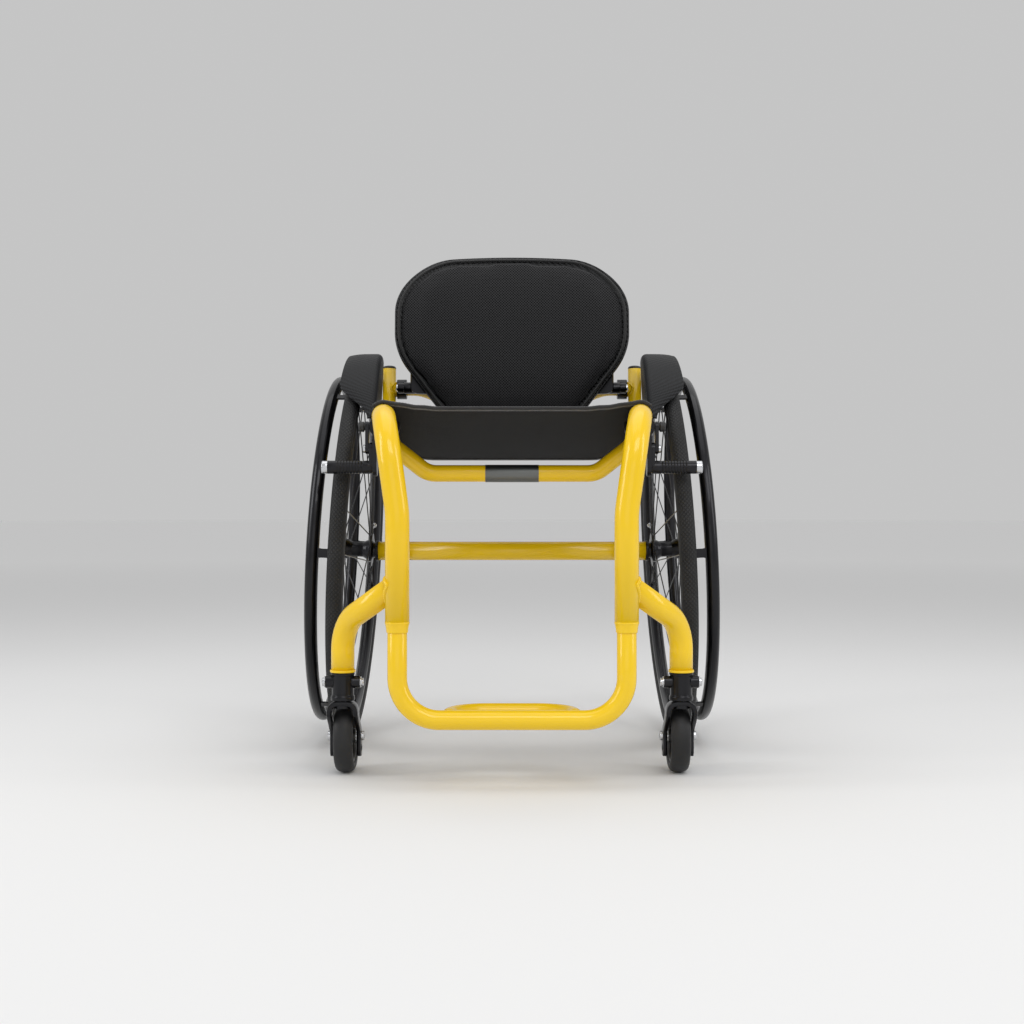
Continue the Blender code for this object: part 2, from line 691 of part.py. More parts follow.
def hub_profile():
    """Hub shell with a flange near each end and a bore for the axle pin."""
    bore = round_about(PIN_RADIUS, HUB_SIDES, RUNNING_GAP)
    flange_in = FLANGE_OFFSET - FLANGE_THICKNESS / 2
    flange_out = FLANGE_OFFSET + FLANGE_THICKNESS / 2
    taper = 0.0012
    half = [
        (bore, HUB_HALF_LENGTH),
        (HUB_END_RADIUS, HUB_HALF_LENGTH),
        (HUB_END_RADIUS, flange_out + taper),
        (FLANGE_RADIUS, flange_out),
        (FLANGE_RADIUS, flange_in),
        (HUB_BODY_RADIUS, flange_in - taper),
    ]
    return half + [(radius, -offset) for radius, offset in reversed(half)]


def spokes():
    """Straight spokes from both flanges, leaning opposite ways, to the middle of a facet of the rim."""
    made = []
    rim_end = RIM_INNER * WHEEL_FLAT - GAP
    hub_end = FLANGE_RADIUS - 2 * SPOKE_RADIUS
    pitch = 2 * math.pi / SPOKES_PER_FLANGE
    for flange in (1, -1):
        for index in range(SPOKES_PER_FLANGE):
            angle = pitch * (index + (flange < 0) / 2)
            start = on_wheel(hub_end, angle + flange * SPOKE_LACING, flange * FLANGE_OFFSET)
            end = on_wheel(rim_end, angle, flange * SPOKE_RIM_OFFSET)
            made.append(rod(start, end, SPOKE_RADIUS, SPOKE_SIDES))
    return made


def handrim():
    """The push ring, with the tabs that hold it off the rim."""
    turns = [2 * math.pi * step / HANDRIM_SIDES for step in range(HANDRIM_SIDES)]
    ring = [(HANDRIM_RADIUS + HANDRIM_TUBE * math.cos(turn), HANDRIM_OFFSET + HANDRIM_TUBE * math.sin(turn))
            for turn in turns]
    rim = turned(ring, WHEEL_SEGMENTS, WHEEL_FRAME, ring=True)
    low = RIM_BED - RIM_SHOULDER - TAB_THICKNESS / 2
    high = RIM_BED - RIM_SHOULDER + TAB_THICKNESS / 2
    for index in range(HANDRIM_TABS):
        angle = 2 * math.pi * (index + 0.5) / HANDRIM_TABS
        tab = block((low, -TAB_WIDTH / 2, RIM_HALF_WIDTH + GAP), (high, TAB_WIDTH / 2, HANDRIM_OFFSET - HANDRIM_TUBE / 3))
        tab.data.transform(WHEEL_FRAME @ Matrix.Rotation(angle, 4, "Z"))
        join(rim, tab)
    return rim


def foot_path():
    """From inside one down tube, down, across and up into the other."""
    top = DOWN_TUBE_END + FOOT_INSERTION
    half = [(FRONT_HALF_WIDTH, FRONT_Y, top), (FRONT_HALF_WIDTH, FRONT_Y, FOOT_HEIGHT)]
    return rounded_path(half + [(-x, y, z) for x, y, z in reversed(half)], [FOOT_BEND, FOOT_BEND])


def make_footrest(joint):
    """The height-adjustable footrest tube, and the loop behind it that holds the heels."""
    finish(pipe(foot_path(), FOOT_RADIUS, FOOT_WALL), "footrest_tube", "yellow_paint", joint)
    back = FRONT_Y + LOOP_DEPTH
    half = [(LOOP_HALF_WIDTH, FRONT_Y, FOOT_HEIGHT), (LOOP_HALF_WIDTH, back, FOOT_HEIGHT)]
    path = rounded_path(half + [(-x, y, z) for x, y, z in reversed(half)], [LOOP_BEND, LOOP_BEND])
    loop = cut(pipe(path, LOOP_RADIUS, LOOP_WALL), swept(foot_path(), FOOT_RADIUS + GAP))
    finish(loop, "foot_loop", "yellow_paint", joint)


def sling_section(y):
    """Closed section of the sling across the chair: over both rails and level in the middle."""
    rail = rail_at(y)
    level = rail.z + MAIN_RADIUS + GAP + SLING_THICKNESS - SLING_SAG
    faces = []
    for radius, drop in ((MAIN_RADIUS + 2 * GAP + SLING_THICKNESS, 0), (MAIN_RADIUS + 2 * GAP, SLING_THICKNESS)):
        half = [(rail.x - SLING_SLOPE_WIDTH, level - drop)]
        steps = 5
        for step in range(steps + 1):
            angle = -SLING_INNER_WRAP + (SLING_OUTER_WRAP + SLING_INNER_WRAP) * step / steps
            half.append((rail.x + radius * math.sin(angle), rail.z + radius * math.cos(angle)))
        faces.append([(-x, y, z) for x, z in reversed(half)] + [(x, y, z) for x, z in half])
    upper, lower = faces
    return upper + lower[::-1]


def make_seat_sling():
    start = FRONT_Y + SLING_FRONT
    end = AXLE_Y + SLING_BEHIND_AXLE
    steps = 4
    sling = loft([sling_section(start + (end - start) * step / steps) for step in range(steps + 1)])
    finish(sling, "seat_sling", "seat_fabric")


def upright_ends():
    """Foot on the rail and open top of the left back upright."""
    foot = rail_at(AXLE_Y + UPRIGHT_BEHIND_AXLE)
    rise = PIVOT_HEIGHT + UPRIGHT_ABOVE_PIVOT - foot.z
    return foot, foot + Vector((0, rise * math.tan(UPRIGHT_LEAN), rise))


def pivot_line():
    """Where the cross bar and the back's pivot lie: their y, and the upright's x, at pivot height."""
    foot, top = upright_ends()
    bar = foot.lerp(top, (PIVOT_HEIGHT - foot.z) / (top.z - foot.z))
    return bar.y, bar.y - PIVOT_AHEAD, bar.x


def make_back_uprights():
    foot, top = upright_ends()
    upright = pipe([foot, top], UPRIGHT_RADIUS, UPRIGHT_WALL, TUBE_SIDES)
    pair(cut(upright, main_cutter()), "back_upright", "yellow_paint")


def back_bar_path():
    """Across the chair between the uprights, bowed back and down behind the shell."""
    y, _, x = pivot_line()
    half = [(x, y, PIVOT_HEIGHT), (x - BACK_BAR_STRAIGHT, y, PIVOT_HEIGHT),
            (BACK_BAR_MIDDLE, y + BACK_BAR_BOW, PIVOT_HEIGHT - BACK_BAR_DROP)]
    return rounded_path([(-x, y, z) for x, y, z in half] + half[::-1], [BACK_BAR_BEND] * 4)


def make_back_cross_bar():
    foot, top = upright_ends()
    bar = pipe(back_bar_path(), BACK_BAR_RADIUS, BACK_BAR_WALL, TUBE_SIDES)
    cutter = swept([foot, top], UPRIGHT_RADIUS + GAP, TUBE_SIDES)
    other_side = mirrored(cutter)
    finish(cut(bar, cutter, other_side), "back_cross_bar", "yellow_paint")


def cap_profile(radius, spigot):
    """A push-in tube plug: spigot, collar and domed top."""
    return [(0, -CAP_DEPTH), (spigot, -CAP_DEPTH), (spigot, GAP), (radius, GAP), (radius, CAP_HEIGHT / 3),
            (radius * 0.6, CAP_HEIGHT * 0.9), (0, CAP_HEIGHT)]


def make_tube_end_caps():
    """Plugs in the tops of the uprights and in the rear ends of the seat rails."""
    foot, top = upright_ends()
    upright_cap = turned(cap_profile(UPRIGHT_RADIUS, inside(UPRIGHT_RADIUS, UPRIGHT_WALL)), TUBE_SIDES,
                         facing(top, top - foot))
    pair(upright_cap, "upright_cap", "black_plastic")
    rear = rail_at(AXLE_Y + RAIL_BEHIND_AXLE)
    rail_cap = turned(cap_profile(MAIN_RADIUS, inside(MAIN_RADIUS, MAIN_WALL)), TUBE_SIDES,
                      facing(rear, rear - rail_at(AXLE_Y)))
    pair(rail_cap, "rail_cap", "black_plastic")


def make_back_clamps():
    """A clamp round each end of the cross bar carries a pivot bolt in front of it."""
    bar_y, pivot_y, _ = pivot_line()
    outer = CLAMP_PLATE_INNER + CLAMP_PLATE_THICKNESS
    bar = Vector((0, bar_y, PIVOT_HEIGHT))
    pivot = Vector((0, pivot_y, PIVOT_HEIGHT))
    across = Vector((1, 0, 0))
    clamp = band(BACK_BAR_RADIUS / 2, BACK_BAR_RADIUS + GAP + CLAMP_WALL, bar + across * CLAMP_INNER,
                 bar + across * (CLAMP_INNER + CLAMP_LENGTH))
    join(clamp, link_plate(bar.yz, pivot.yz, CLAMP_PLATE_RADIUS, CLAMP_PLATE_INNER, outer))
    join(clamp, rod(pivot + across * EAR_INNER, pivot + across * (outer - GAP), PIVOT_RADIUS))
    join(clamp, rod(pivot + across * (outer - GAP), pivot + across * (outer + BOLT_HEAD_RADIUS / 2), BOLT_HEAD_RADIUS, 6))
    cut(clamp, swept(back_bar_path(), BACK_BAR_RADIUS + GAP, TUBE_SIDES))
    pair(clamp, "back_clamp", "black_anodised")


def shell_face(x, z):
    """Depth of the back shell's front face, which curves forward at the sides in flat columns."""
    _, pivot_y, _ = pivot_line()
    low = math.floor(x / SHELL_COLUMN) * SHELL_COLUMN
    share = (x - low) / SHELL_COLUMN
    wrap = (1 - share) * low ** 2 + share * (low + SHELL_COLUMN) ** 2
    lean = (z - PIVOT_HEIGHT) * math.tan(SHELL_LEAN)
    return pivot_y - SHELL_AHEAD_OF_EAR + lean - SHELL_WRAP * (wrap - EAR_INNER ** 2) / SHELL_HALF_WIDTH ** 2


def shell_outline(inset=0.0):
    """Half-widths and heights of the shell's rounded outline, from the bottom edge to the top edge."""
    corners = [
        (0, 0, SHELL_BOTTOM + inset),
        (SHELL_BOTTOM_HALF_WIDTH - inset / 2, 0, SHELL_BOTTOM + inset),
        (SHELL_HALF_WIDTH - inset, 0, SHELL_LOW_SIDE + inset / 2),
        (SHELL_HALF_WIDTH - inset, 0, SHELL_TOP - inset),
        (0, 0, SHELL_TOP - inset),
    ]
    points = rounded_path(corners, [SHELL_BOTTOM_BEND, SHELL_SIDE_BEND, SHELL_TOP_BEND], OUTLINE_STEP)[1:-1]
    return [(point.x, PIVOT_HEIGHT + point.z) for point in points]


def back_section(half_width, z, front, back):
    """A closed section across the back at one height, between a front and a back face."""
    spread = [2 * column / SHELL_COLUMNS - 1 for column in range(SHELL_COLUMNS + 1)]
    places = [share * half_width for share in spread]
    return [(x, front(x, z), z) for x in places] + [(x, back(x, z), z) for x in reversed(places)]


def sheet_section(places, z, start, thickness):
    """A section at one height of a sheet that follows the shell, a distance behind its front face."""
    near = [(x, shell_face(x, z) + start, z) for x in places]
    return near + [(x, y + thickness, z) for x, y, z in reversed(near)]


def make_back_shell(joint):
    """A curved sheet, cut to its rounded outline."""
    beyond = SHELL_COLUMNS // 2 + 1
    places = [SHELL_COLUMN * column for column in range(-beyond, beyond + 1)]
    heights = [PIVOT_HEIGHT + SHELL_BOTTOM - SHELL_WRAP, PIVOT_HEIGHT + SHELL_TOP + SHELL_WRAP]
    sheet = loft([sheet_section(places, z, 0, SHELL_THICKNESS) for z in heights])
    half = shell_outline()
    outline = half + [(-x, z) for x, z in reversed(half)]
    prism = loft([[(x, y, z) for x, z in outline] for y in (-SHELL_HALF_WIDTH, 2 * SHELL_HALF_WIDTH)])
    finish(combine(sheet, prism, "INTERSECT"), "back_shell", "carbon_fibre", joint)


def make_back_pad(joint):
    """The crowned pad on the front of the shell, thinner towards its edge."""
    outline = shell_outline(PAD_INSET)
    bottom = outline[0][1]
    top = outline[-1][1]
    sections = []
    for half_width, z in outline:
        rise = 2 * (z - bottom) / (top - bottom) - 1

        def front(x, z):
            crown = math.sqrt(max(0.0, 1 - (x / half_width) ** 4)) * (1 - rise ** 4)
            return shell_face(x, z) - GAP - PAD_EDGE - (PAD_THICKNESS - PAD_EDGE) * crown

        sections.append(back_section(half_width, z, front, lambda x, z: shell_face(x, z) - GAP))
    finish(loft(sections), "back_pad", "back_fabric", joint)


def make_back_brackets(joint):
    """A patch on the shell's back with an ear that turns on the clamp's pivot bolt."""
    _, pivot_y, _ = pivot_line()
    bends = [SHELL_COLUMN * column for column in range(SHELL_COLUMNS)]
    places = [PATCH_INNER] + [x for x in bends if PATCH_INNER < x < PATCH_OUTER] + [PATCH_OUTER]
    heights = [PIVOT_HEIGHT + PATCH_BOTTOM, PIVOT_HEIGHT + PATCH_TOP]
    bracket = loft([sheet_section(places, z, SHELL_THICKNESS + GAP, PATCH_THICKNESS) for z in heights])
    ear_end = CLAMP_PLATE_INNER - GAP
    start = Vector((EAR_INNER, pivot_y, PIVOT_HEIGHT))
    end = Vector((ear_end, pivot_y, PIVOT_HEIGHT))
    join(bracket, rod(start, end, EAR_RADIUS))
    beyond = Vector((EAR_RADIUS, 0, 0))
    cut(bracket, rod(start - beyond, end + beyond, round_about(PIVOT_RADIUS, gap=RUNNING_GAP)))
    pair(bracket, "back_bracket", "black_anodised", (joint, joint))


def guard_column(share):
    """One section of the side guard: up from the rail, round the corner and out over the tyre."""
    angle = GUARD_FRONT_ANGLE + (GUARD_REAR_ANGLE - GUARD_FRONT_ANGLE) * share
    flare = min(1.0, (angle - GUARD_FRONT_ANGLE) / (GUARD_FLANGE_ANGLE - GUARD_FRONT_ANGLE))
    outwards = Vector((0, -math.cos(angle), math.sin(angle)))
    low_y = AXLE_Y - GUARD_FRONT + (GUARD_FRONT + GUARD_REAR) * share

    def panel(y, z):
        rail = rail_at(y)
        return Vector((rail.x + MAIN_RADIUS + GUARD_RAIL_GAP - (z - rail.z) * math.tan(CAMBER), y, z))

    low = panel(low_y, rail_at(low_y).z - GUARD_BELOW_RAIL)
    hub = Vector((0, AXLE_Y, AXLE_Z))
    arc = hub + outwards * (WHEEL_RADIUS + GUARD_TYRE_GAP)
    turn_start = hub + outwards * (WHEEL_RADIUS + GUARD_TYRE_GAP - GUARD_CORNER)
    high = panel(turn_start.y, turn_start.z)
    points = [low, low.lerp(high, 0.5), high]
    corner_x = high.x + GUARD_CORNER
    for turn in (math.radians(30), math.radians(60)):
        reach = GUARD_CORNER * math.sin(turn)
        point = turn_start + outwards * reach
        points.append(Vector((corner_x - GUARD_CORNER * math.cos(turn), point.y, point.z)))
    points.append(Vector((corner_x, arc.y, arc.z)))
    edge = corner_x + GUARD_LIP + (HALF_TRACK + GUARD_PAST_WHEEL - corner_x - GUARD_LIP) * flare
    points.append(Vector((edge, arc.y, arc.z)))
    return points


def make_side_guards():
    """A thin moulded panel outside each rail, with a flange that covers the tyre."""
    columns = [guard_column(column / GUARD_COLUMNS) for column in range(GUARD_COLUMNS + 1)]
    bm = bmesh.new()
    grid = [[bm.verts.new(point) for point in column] for column in columns]
    for near, far in zip(grid, grid[1:]):
        for row in range(len(near) - 1):
            bm.faces.new((near[row], far[row], far[row + 1], near[row + 1]))
    mesh = bpy.data.meshes.new("guard")
    bm.to_mesh(mesh)
    bm.free()
    guard = shape(mesh)
    skin = guard.modifiers.new("wall", "SOLIDIFY")
    skin.thickness = GUARD_THICKNESS
    skin.offset = 1
    skin.use_even_offset = True
    guard.data = evaluated_mesh(guard)
    guard.modifiers.clear()
    pair(guard, "side_guard", "carbon_fibre")


def caster_point(x, y, z):
    """A point given from the left caster's swivel axis."""
    return Vector((CASTER_HALF_TRACK + x, CASTER_Y + y, z))


def make_caster_housings():
    """The bearing housing under each arm, with its cross barrel and the heads of its angle bolts."""
    place = Matrix.Translation(caster_point(0, 0, 0))
    bore = round_about(BEARING_OUTER)
    top = ARM_END - GAP
    cup = [(0, top), (HOUSING_RADIUS, top), (HOUSING_RADIUS, HOUSING_BOTTOM), (bore, HOUSING_BOTTOM),
           (bore, HOUSING_CEILING), (0, HOUSING_CEILING)]
    housing = turned(cup, PIN_SIDES, place)
    join(housing, rod(caster_point(-BARREL_HALF, 0, BARREL_HEIGHT), caster_point(BARREL_HALF, 0, BARREL_HEIGHT),
                      BARREL_RADIUS))
    cut(housing, rod(caster_point(0, 0, HOUSING_BOTTOM - BARREL_RADIUS), caster_point(0, 0, HOUSING_CEILING), bore))
    head = BARREL_HALF + BOLT_HEAD_HEIGHT
    for side in (-1, 1):
        join(housing, rod(caster_point(side * (BARREL_HALF - GAP), 0, BARREL_HEIGHT),
                          caster_point(side * head, 0, BARREL_HEIGHT), BOLT_HEAD_RADIUS, 6))
    pair(housing, "caster_housing", "black_anodised")


def make_caster_bearings():
    """Two ball bearings in each housing, with the spacer sleeve between their inner rings."""
    inner = round_about(STEM_PIN_RADIUS)
    spacer = (inner + BEARING_OUTER) / 2
    low = HOUSING_BOTTOM + 2 * GAP
    high = low + BEARING_SPACING
    profile = [(inner, low), (BEARING_OUTER, low), (BEARING_OUTER, low + BEARING_HEIGHT),
               (spacer, low + BEARING_HEIGHT), (spacer, high), (BEARING_OUTER, high),
               (BEARING_OUTER, high + BEARING_HEIGHT), (inner, high + BEARING_HEIGHT)]
    bearings = turned(profile, PIN_SIDES, Matrix.Translation(caster_point(0, 0, 0)), ring=True)
    pair(bearings, "caster_bearing", "polished_metal")


def fork_station(x_outer, z_outer, x_inner, z_inner, half_depth):
    """One four-cornered section across the fork's arch."""
    lean = (FORK_BEND_HEIGHT - z_outer) / (FORK_BEND_HEIGHT - CASTER_RADIUS)
    middle = CASTER_TRAIL * min(1.0, max(0.0, lean))
    return [caster_point(x_outer, middle - half_depth, z_outer), caster_point(x_outer, middle + half_depth, z_outer),
            caster_point(x_inner, middle + half_depth, z_inner), caster_point(x_inner, middle - half_depth, z_inner)]


def fork_arch():
    """The fork's two legs and crown, lofted in one sweep, with square-cornered shoulders."""
    outer = FORK_INNER + FORK_THICKNESS
    one_leg = [fork_station(outer, z, FORK_INNER, z, depth) for z, depth in FORK_LEG_STATIONS]
    other_leg = [fork_station(-outer, z, -FORK_INNER, z, depth) for z, depth in reversed(FORK_LEG_STATIONS)]
    crown = []
    steps = 6
    for step in range(steps + 1):
        angle = math.pi * step / steps
        across = math.copysign(abs(math.cos(angle)) ** FORK_SQUARENESS, math.cos(angle))
        rise = max(0.0, math.sin(angle)) ** FORK_SQUARENESS
        crown.append(fork_station(outer * across, FORK_LEG_TOP + (FORK_CROWN_TOP - FORK_LEG_TOP) * rise,
                                  FORK_INNER * across, FORK_LEG_TOP + (FORK_CROWN_INNER - FORK_LEG_TOP) * rise,
                                  FORK_SHOULDER_DEPTH + (FORK_CROWN_DEPTH - FORK_SHOULDER_DEPTH) * rise))
    return loft(one_leg + crown + other_leg)


def make_casters(swivels, spins):
    """Fork, stem, axle bolt, wheel and tyre of each caster."""
    fork = fork_arch()
    join(fork, rod(caster_point(0, 0, FORK_BOSS_BOTTOM), caster_point(0, 0, FORK_CROWN_TOP), FORK_BOSS_RADIUS))
    reach = 2 * BARREL_HALF
    for z, radius in ((CASTER_AXLE_Z, round_about(CASTER_AXLE_RADIUS)), (FORK_SPARE_HOLE, FORK_SPARE_RADIUS)):
        cut(fork, rod(caster_point(-reach, CASTER_TRAIL, z), caster_point(reach, CASTER_TRAIL, z), radius))
    pair(fork, "caster_fork", "black_anodised", swivels)

    nut_bottom = HOUSING_BOTTOM + 2 * GAP + BEARING_SPACING + BEARING_HEIGHT + GAP
    stem_top = nut_bottom + STEM_NUT_HEIGHT - GAP
    stem = rod(caster_point(0, 0, FORK_CROWN_TOP + GAP), caster_point(0, 0, stem_top), STEM_PIN_RADIUS)
    join(stem, rod(caster_point(0, 0, nut_bottom), caster_point(0, 0, nut_bottom + STEM_NUT_HEIGHT),
                   STEM_NUT_RADIUS, 6))
    pair(stem, "caster_stem", "polished_metal", swivels)

    head = FORK_INNER + FORK_THICKNESS + GAP
    profile = [(0, -head - CASTER_HEAD_HEIGHT), (CASTER_HEAD_RADIUS, -head - CASTER_HEAD_HEIGHT),
               (CASTER_HEAD_RADIUS, -head), (CASTER_AXLE_RADIUS, -head)]
    profile += [(radius, -offset) for radius, offset in reversed(profile)]
    across = facing(caster_point(0, CASTER_TRAIL, CASTER_AXLE_Z), (1, 0, 0))
    pair(turned(profile, PIN_SIDES, across), "caster_axle", "polished_metal", swivels)

    bore = round_about(CASTER_AXLE_RADIUS, CASTER_SEGMENTS, RUNNING_GAP)
    half_wheel = [(bore, CASTER_HUB_HALF), (CASTER_HUB_RADIUS, CASTER_HUB_HALF),
                  (CASTER_HUB_RADIUS, CASTER_WEB_HALF), (CASTER_RIM_RADIUS - CASTER_WEB_HALF, CASTER_WEB_HALF),
                  (CASTER_RIM_RADIUS, CASTER_RIM_HALF)]
    wheel = half_wheel + [(radius, -offset) for radius, offset in reversed(half_wheel)]
    pair(turned(wheel, CASTER_SEGMENTS, across, ring=True), "caster_wheel", "black_plastic", spins)

    bead = CASTER_RIM_RADIUS + GAP
    half_tyre = [(bead, CASTER_HALF_WIDTH * CASTER_BEAD), ((bead + CASTER_RADIUS) / 2, CASTER_HALF_WIDTH),
                 (CASTER_RADIUS - CASTER_CROWN_DROP, CASTER_HALF_WIDTH * CASTER_SHOULDER),
                 (CASTER_RADIUS, CASTER_HALF_WIDTH * CASTER_CROWN)]
    tyre = half_tyre + [(radius, -offset) for radius, offset in reversed(half_tyre)]
    pair(turned(tyre, CASTER_SEGMENTS, across, ring=True), "caster_tyre", "caster_rubber", spins)


def lock_place():
    """The wheel lock's y, its pivot height and its plate's inner face, so that the shoe clears the tyre."""
    reach = WHEEL_RADIUS + SHOE_CLEARANCE + SHOE_BAR_RADIUS
    y = AXLE_Y - math.sqrt(reach ** 2 - (SHOE_BAR_HEIGHT - AXLE_Z) ** 2)
    return y, SHOE_BAR_HEIGHT + LOCK_ARM, rail_at(y).x + LOCK_PLATE_OFFSET


def make_wheel_locks(levers, shoes):
    """Clamp under the rail, push lever, and the shoe bar that presses on the tyre."""
    y, pivot_z, plate = lock_place()
    rail = rail_at(y)
    along = (rail_at(y + 1) - rail).normalized() * LOCK_CLAMP_LENGTH / 2
    outer = MAIN_RADIUS + GAP + LOCK_CLAMP_WALL
    saddle = band(MAIN_RADIUS - MAIN_WALL, outer, rail - along, rail + along)
    size = 2 * LOCK_CLAMP_LENGTH
    top = rail.z + MAIN_RADIUS / 4
    cut(saddle, block((rail.x - size, y - size, top), (rail.x + size, y + size, top + size)))
    shoe_x = plate + LOCK_PLATE_THICKNESS + GAP
    lever_x = shoe_x + LINK_THICKNESS + GAP
    head_x = lever_x + LINK_THICKNESS + GAP
    join(saddle, link_plate((y, rail.z - LOCK_PLATE_RADIUS), (y, SHOE_BAR_HEIGHT), LOCK_PLATE_RADIUS, plate,
                            plate + LOCK_PLATE_THICKNESS))
    join(saddle, rod((plate + GAP, y, pivot_z), (head_x + GAP, y, pivot_z), LOCK_PIN_RADIUS))
    join(saddle, rod((head_x, y, pivot_z), (head_x + LOCK_PIN_RADIUS, y, pivot_z), 2 * LOCK_PIN_RADIUS, 6))
    pair(cut(saddle, main_cutter()), "brake_clamp", "black_anodised")

    hole = round_about(LOCK_PIN_RADIUS, gap=RUNNING_GAP)
    shoe = link_plate((y, SHOE_BAR_HEIGHT), (y, pivot_z), SHOE_ARM_RADIUS, shoe_x, shoe_x + LINK_THICKNESS)
    bar_end = HALF_TRACK + SHOE_BAR_PAST_WHEEL
    join(shoe, rod((shoe_x, y, SHOE_BAR_HEIGHT), (bar_end, y, SHOE_BAR_HEIGHT), SHOE_BAR_RADIUS))
    cut(shoe, rod((plate, y, pivot_z), (head_x, y, pivot_z), hole))
    pair(shoe, "brake_shoe", "black_anodised", shoes)

    lever = link_plate((y, pivot_z), (y, pivot_z + LEVER_LENGTH), LEVER_RADIUS, lever_x, lever_x + LINK_THICKNESS)
    join(lever, rod((lever_x + GAP, y, pivot_z + LEVER_LENGTH), (lever_x + KNOB_LENGTH, y, pivot_z + LEVER_LENGTH),
                    KNOB_RADIUS))
    cut(lever, rod((shoe_x, y, pivot_z), (head_x + GAP, y, pivot_z), hole))
    pair(lever, "brake_lever", "black_anodised", levers)


def make_wheelchair():
    clear_scene()
    _, pivot_y, _ = pivot_line()
    lock_y, lock_z, lock_x = lock_place()
    footrest = joint_marker("footrest_slide", (0, FRONT_Y, DOWN_TUBE_END), (0, 0, -1))
    back = joint_marker("back_fold", (0, pivot_y, PIVOT_HEIGHT), (1, 0, 0))
    wheel_spins = joint_pair("wheel_spin", WHEEL_CENTRE, OUTWARDS)
    buttons = joint_pair("axle_button_push", on_wheel(0, 0, HUB_HALF_LENGTH), -OUTWARDS)
    swivels = joint_pair("caster_swivel", caster_point(0, 0, HOUSING_BOTTOM), (0, 0, 1))
    spins = joint_pair("caster_spin", caster_point(0, CASTER_TRAIL, CASTER_AXLE_Z), (1, 0, 0), swivels)
    levers = joint_pair("brake_lever_turn", (lock_x, lock_y, lock_z), (1, 0, 0))
    shoes = joint_pair("brake_shoe_turn", (lock_x, lock_y, lock_z), (1, 0, 0))

    make_main_tubes()
    make_front_cross_tube()
    make_caster_arms()
    make_axle_tube()
    make_axle_stems()
    make_camber_plugs()
    make_axle_pins(buttons)
    make_wheels(wheel_spins)
    make_footrest(footrest)
    make_seat_sling()
    make_back_uprights()
    make_back_cross_bar()
    make_tube_end_caps()
    make_back_clamps()
    make_back_shell(back)
    make_back_pad(back)
    make_back_brackets(back)
    make_side_guards()
    make_caster_housings()
    make_caster_bearings()
    make_casters(swivels, spins)
    make_wheel_locks(levers, shoes)


make_wheelchair()
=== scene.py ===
# %% [markdown]
# # A rigid active wheelchair in the studio
# The CAD model is loaded as a fixed frame, and this lesson dresses it. Each step makes one piece or
# one finish, says what it is on a real chair, and why it is made that way. The chair faces -Y, its
# left side is +X, and all sizes are metres.

# %% Load the frame
import json
import math

import bmesh
import bpy
from mathutils import Matrix, Vector


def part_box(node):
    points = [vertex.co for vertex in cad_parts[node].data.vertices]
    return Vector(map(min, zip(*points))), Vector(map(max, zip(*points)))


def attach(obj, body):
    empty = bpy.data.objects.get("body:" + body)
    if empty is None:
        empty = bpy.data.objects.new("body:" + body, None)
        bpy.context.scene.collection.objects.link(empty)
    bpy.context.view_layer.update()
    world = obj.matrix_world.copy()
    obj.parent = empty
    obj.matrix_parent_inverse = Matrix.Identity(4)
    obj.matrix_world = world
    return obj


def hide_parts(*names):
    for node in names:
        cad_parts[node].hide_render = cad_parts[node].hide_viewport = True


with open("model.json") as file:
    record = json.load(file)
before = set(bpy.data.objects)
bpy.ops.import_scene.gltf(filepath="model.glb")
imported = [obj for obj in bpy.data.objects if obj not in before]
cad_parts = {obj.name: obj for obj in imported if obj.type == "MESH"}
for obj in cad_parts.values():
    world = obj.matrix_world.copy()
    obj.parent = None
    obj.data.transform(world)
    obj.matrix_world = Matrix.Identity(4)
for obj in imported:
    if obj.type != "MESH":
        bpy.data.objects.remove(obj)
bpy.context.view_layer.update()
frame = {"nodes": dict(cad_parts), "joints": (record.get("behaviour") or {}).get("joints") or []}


def rounded(values):
    """Some measures, short enough to print."""
    return [round(value, 4) for value in values]


# %% [markdown]
# ## Camera
# The picture was taken from straight ahead, a little under two metres away and level with the middle
# of the wheels. A real lens at that distance is what makes the front tubes look larger than the
# wheels behind them, so the camera is set first, and every later piece is judged through it. The
# plain view transform keeps the paint's strong yellow, which a film-like one would wash out.

# %% Camera
REAR_AXLE_Y = 0.08123
FRONT_Y = REAR_AXLE_Y - 0.45          # the down tubes
CAMERA_AWAY = 1.89                    # from the down tubes to the lens
CAMERA_HEIGHT = 0.363


def in_scene(name, data):
    """An object of some data, put in the scene."""
    thing = bpy.data.objects.new(name, data)
    bpy.context.scene.collection.objects.link(thing)
    return thing


camera_data = bpy.data.cameras.new("studio_camera")
camera_data.sensor_width = 36
camera_data.lens = 51
camera = in_scene("studio_camera", camera_data)
camera.location = (0, FRONT_Y - CAMERA_AWAY, CAMERA_HEIGHT)
camera.rotation_euler = (math.radians(90), 0, 0)
bpy.context.scene.camera = camera
bpy.context.scene.view_settings.view_transform = "Standard"
print("camera", rounded(camera.location))

# %% [markdown]
# ## Helpers for finishes
# A finish is a node tree. Nearly all of them start from Object coordinates, so that a pattern has a
# real size in metres and stays put on its piece. Two helpers keep the trees short to read: one starts
# a material, the other adds a node and fills in its inputs. The rest are the few things that every
# finish here does: wander in colour and roughness, and rise and sink.

# %% Materials and nodes
COAT_ROUGHNESS = 0.06


def new_finish(name, colour, roughness, metallic=0.0, coat=0.0, specular=0.5):
    """A material with its Principled shader, and the coordinates its patterns read."""
    material = bpy.data.materials.new(name)
    material.use_nodes = True
    shader = material.node_tree.nodes["Principled BSDF"]
    plain = {"Base Color": (*colour, 1.0), "Roughness": roughness, "Metallic": metallic,
             "Coat Weight": coat, "Coat Roughness": COAT_ROUGHNESS, "Specular IOR Level": specular}
    for socket, value in plain.items():
        shader.inputs[socket].default_value = value
    return material, shader, material.node_tree.nodes.new("ShaderNodeTexCoord")


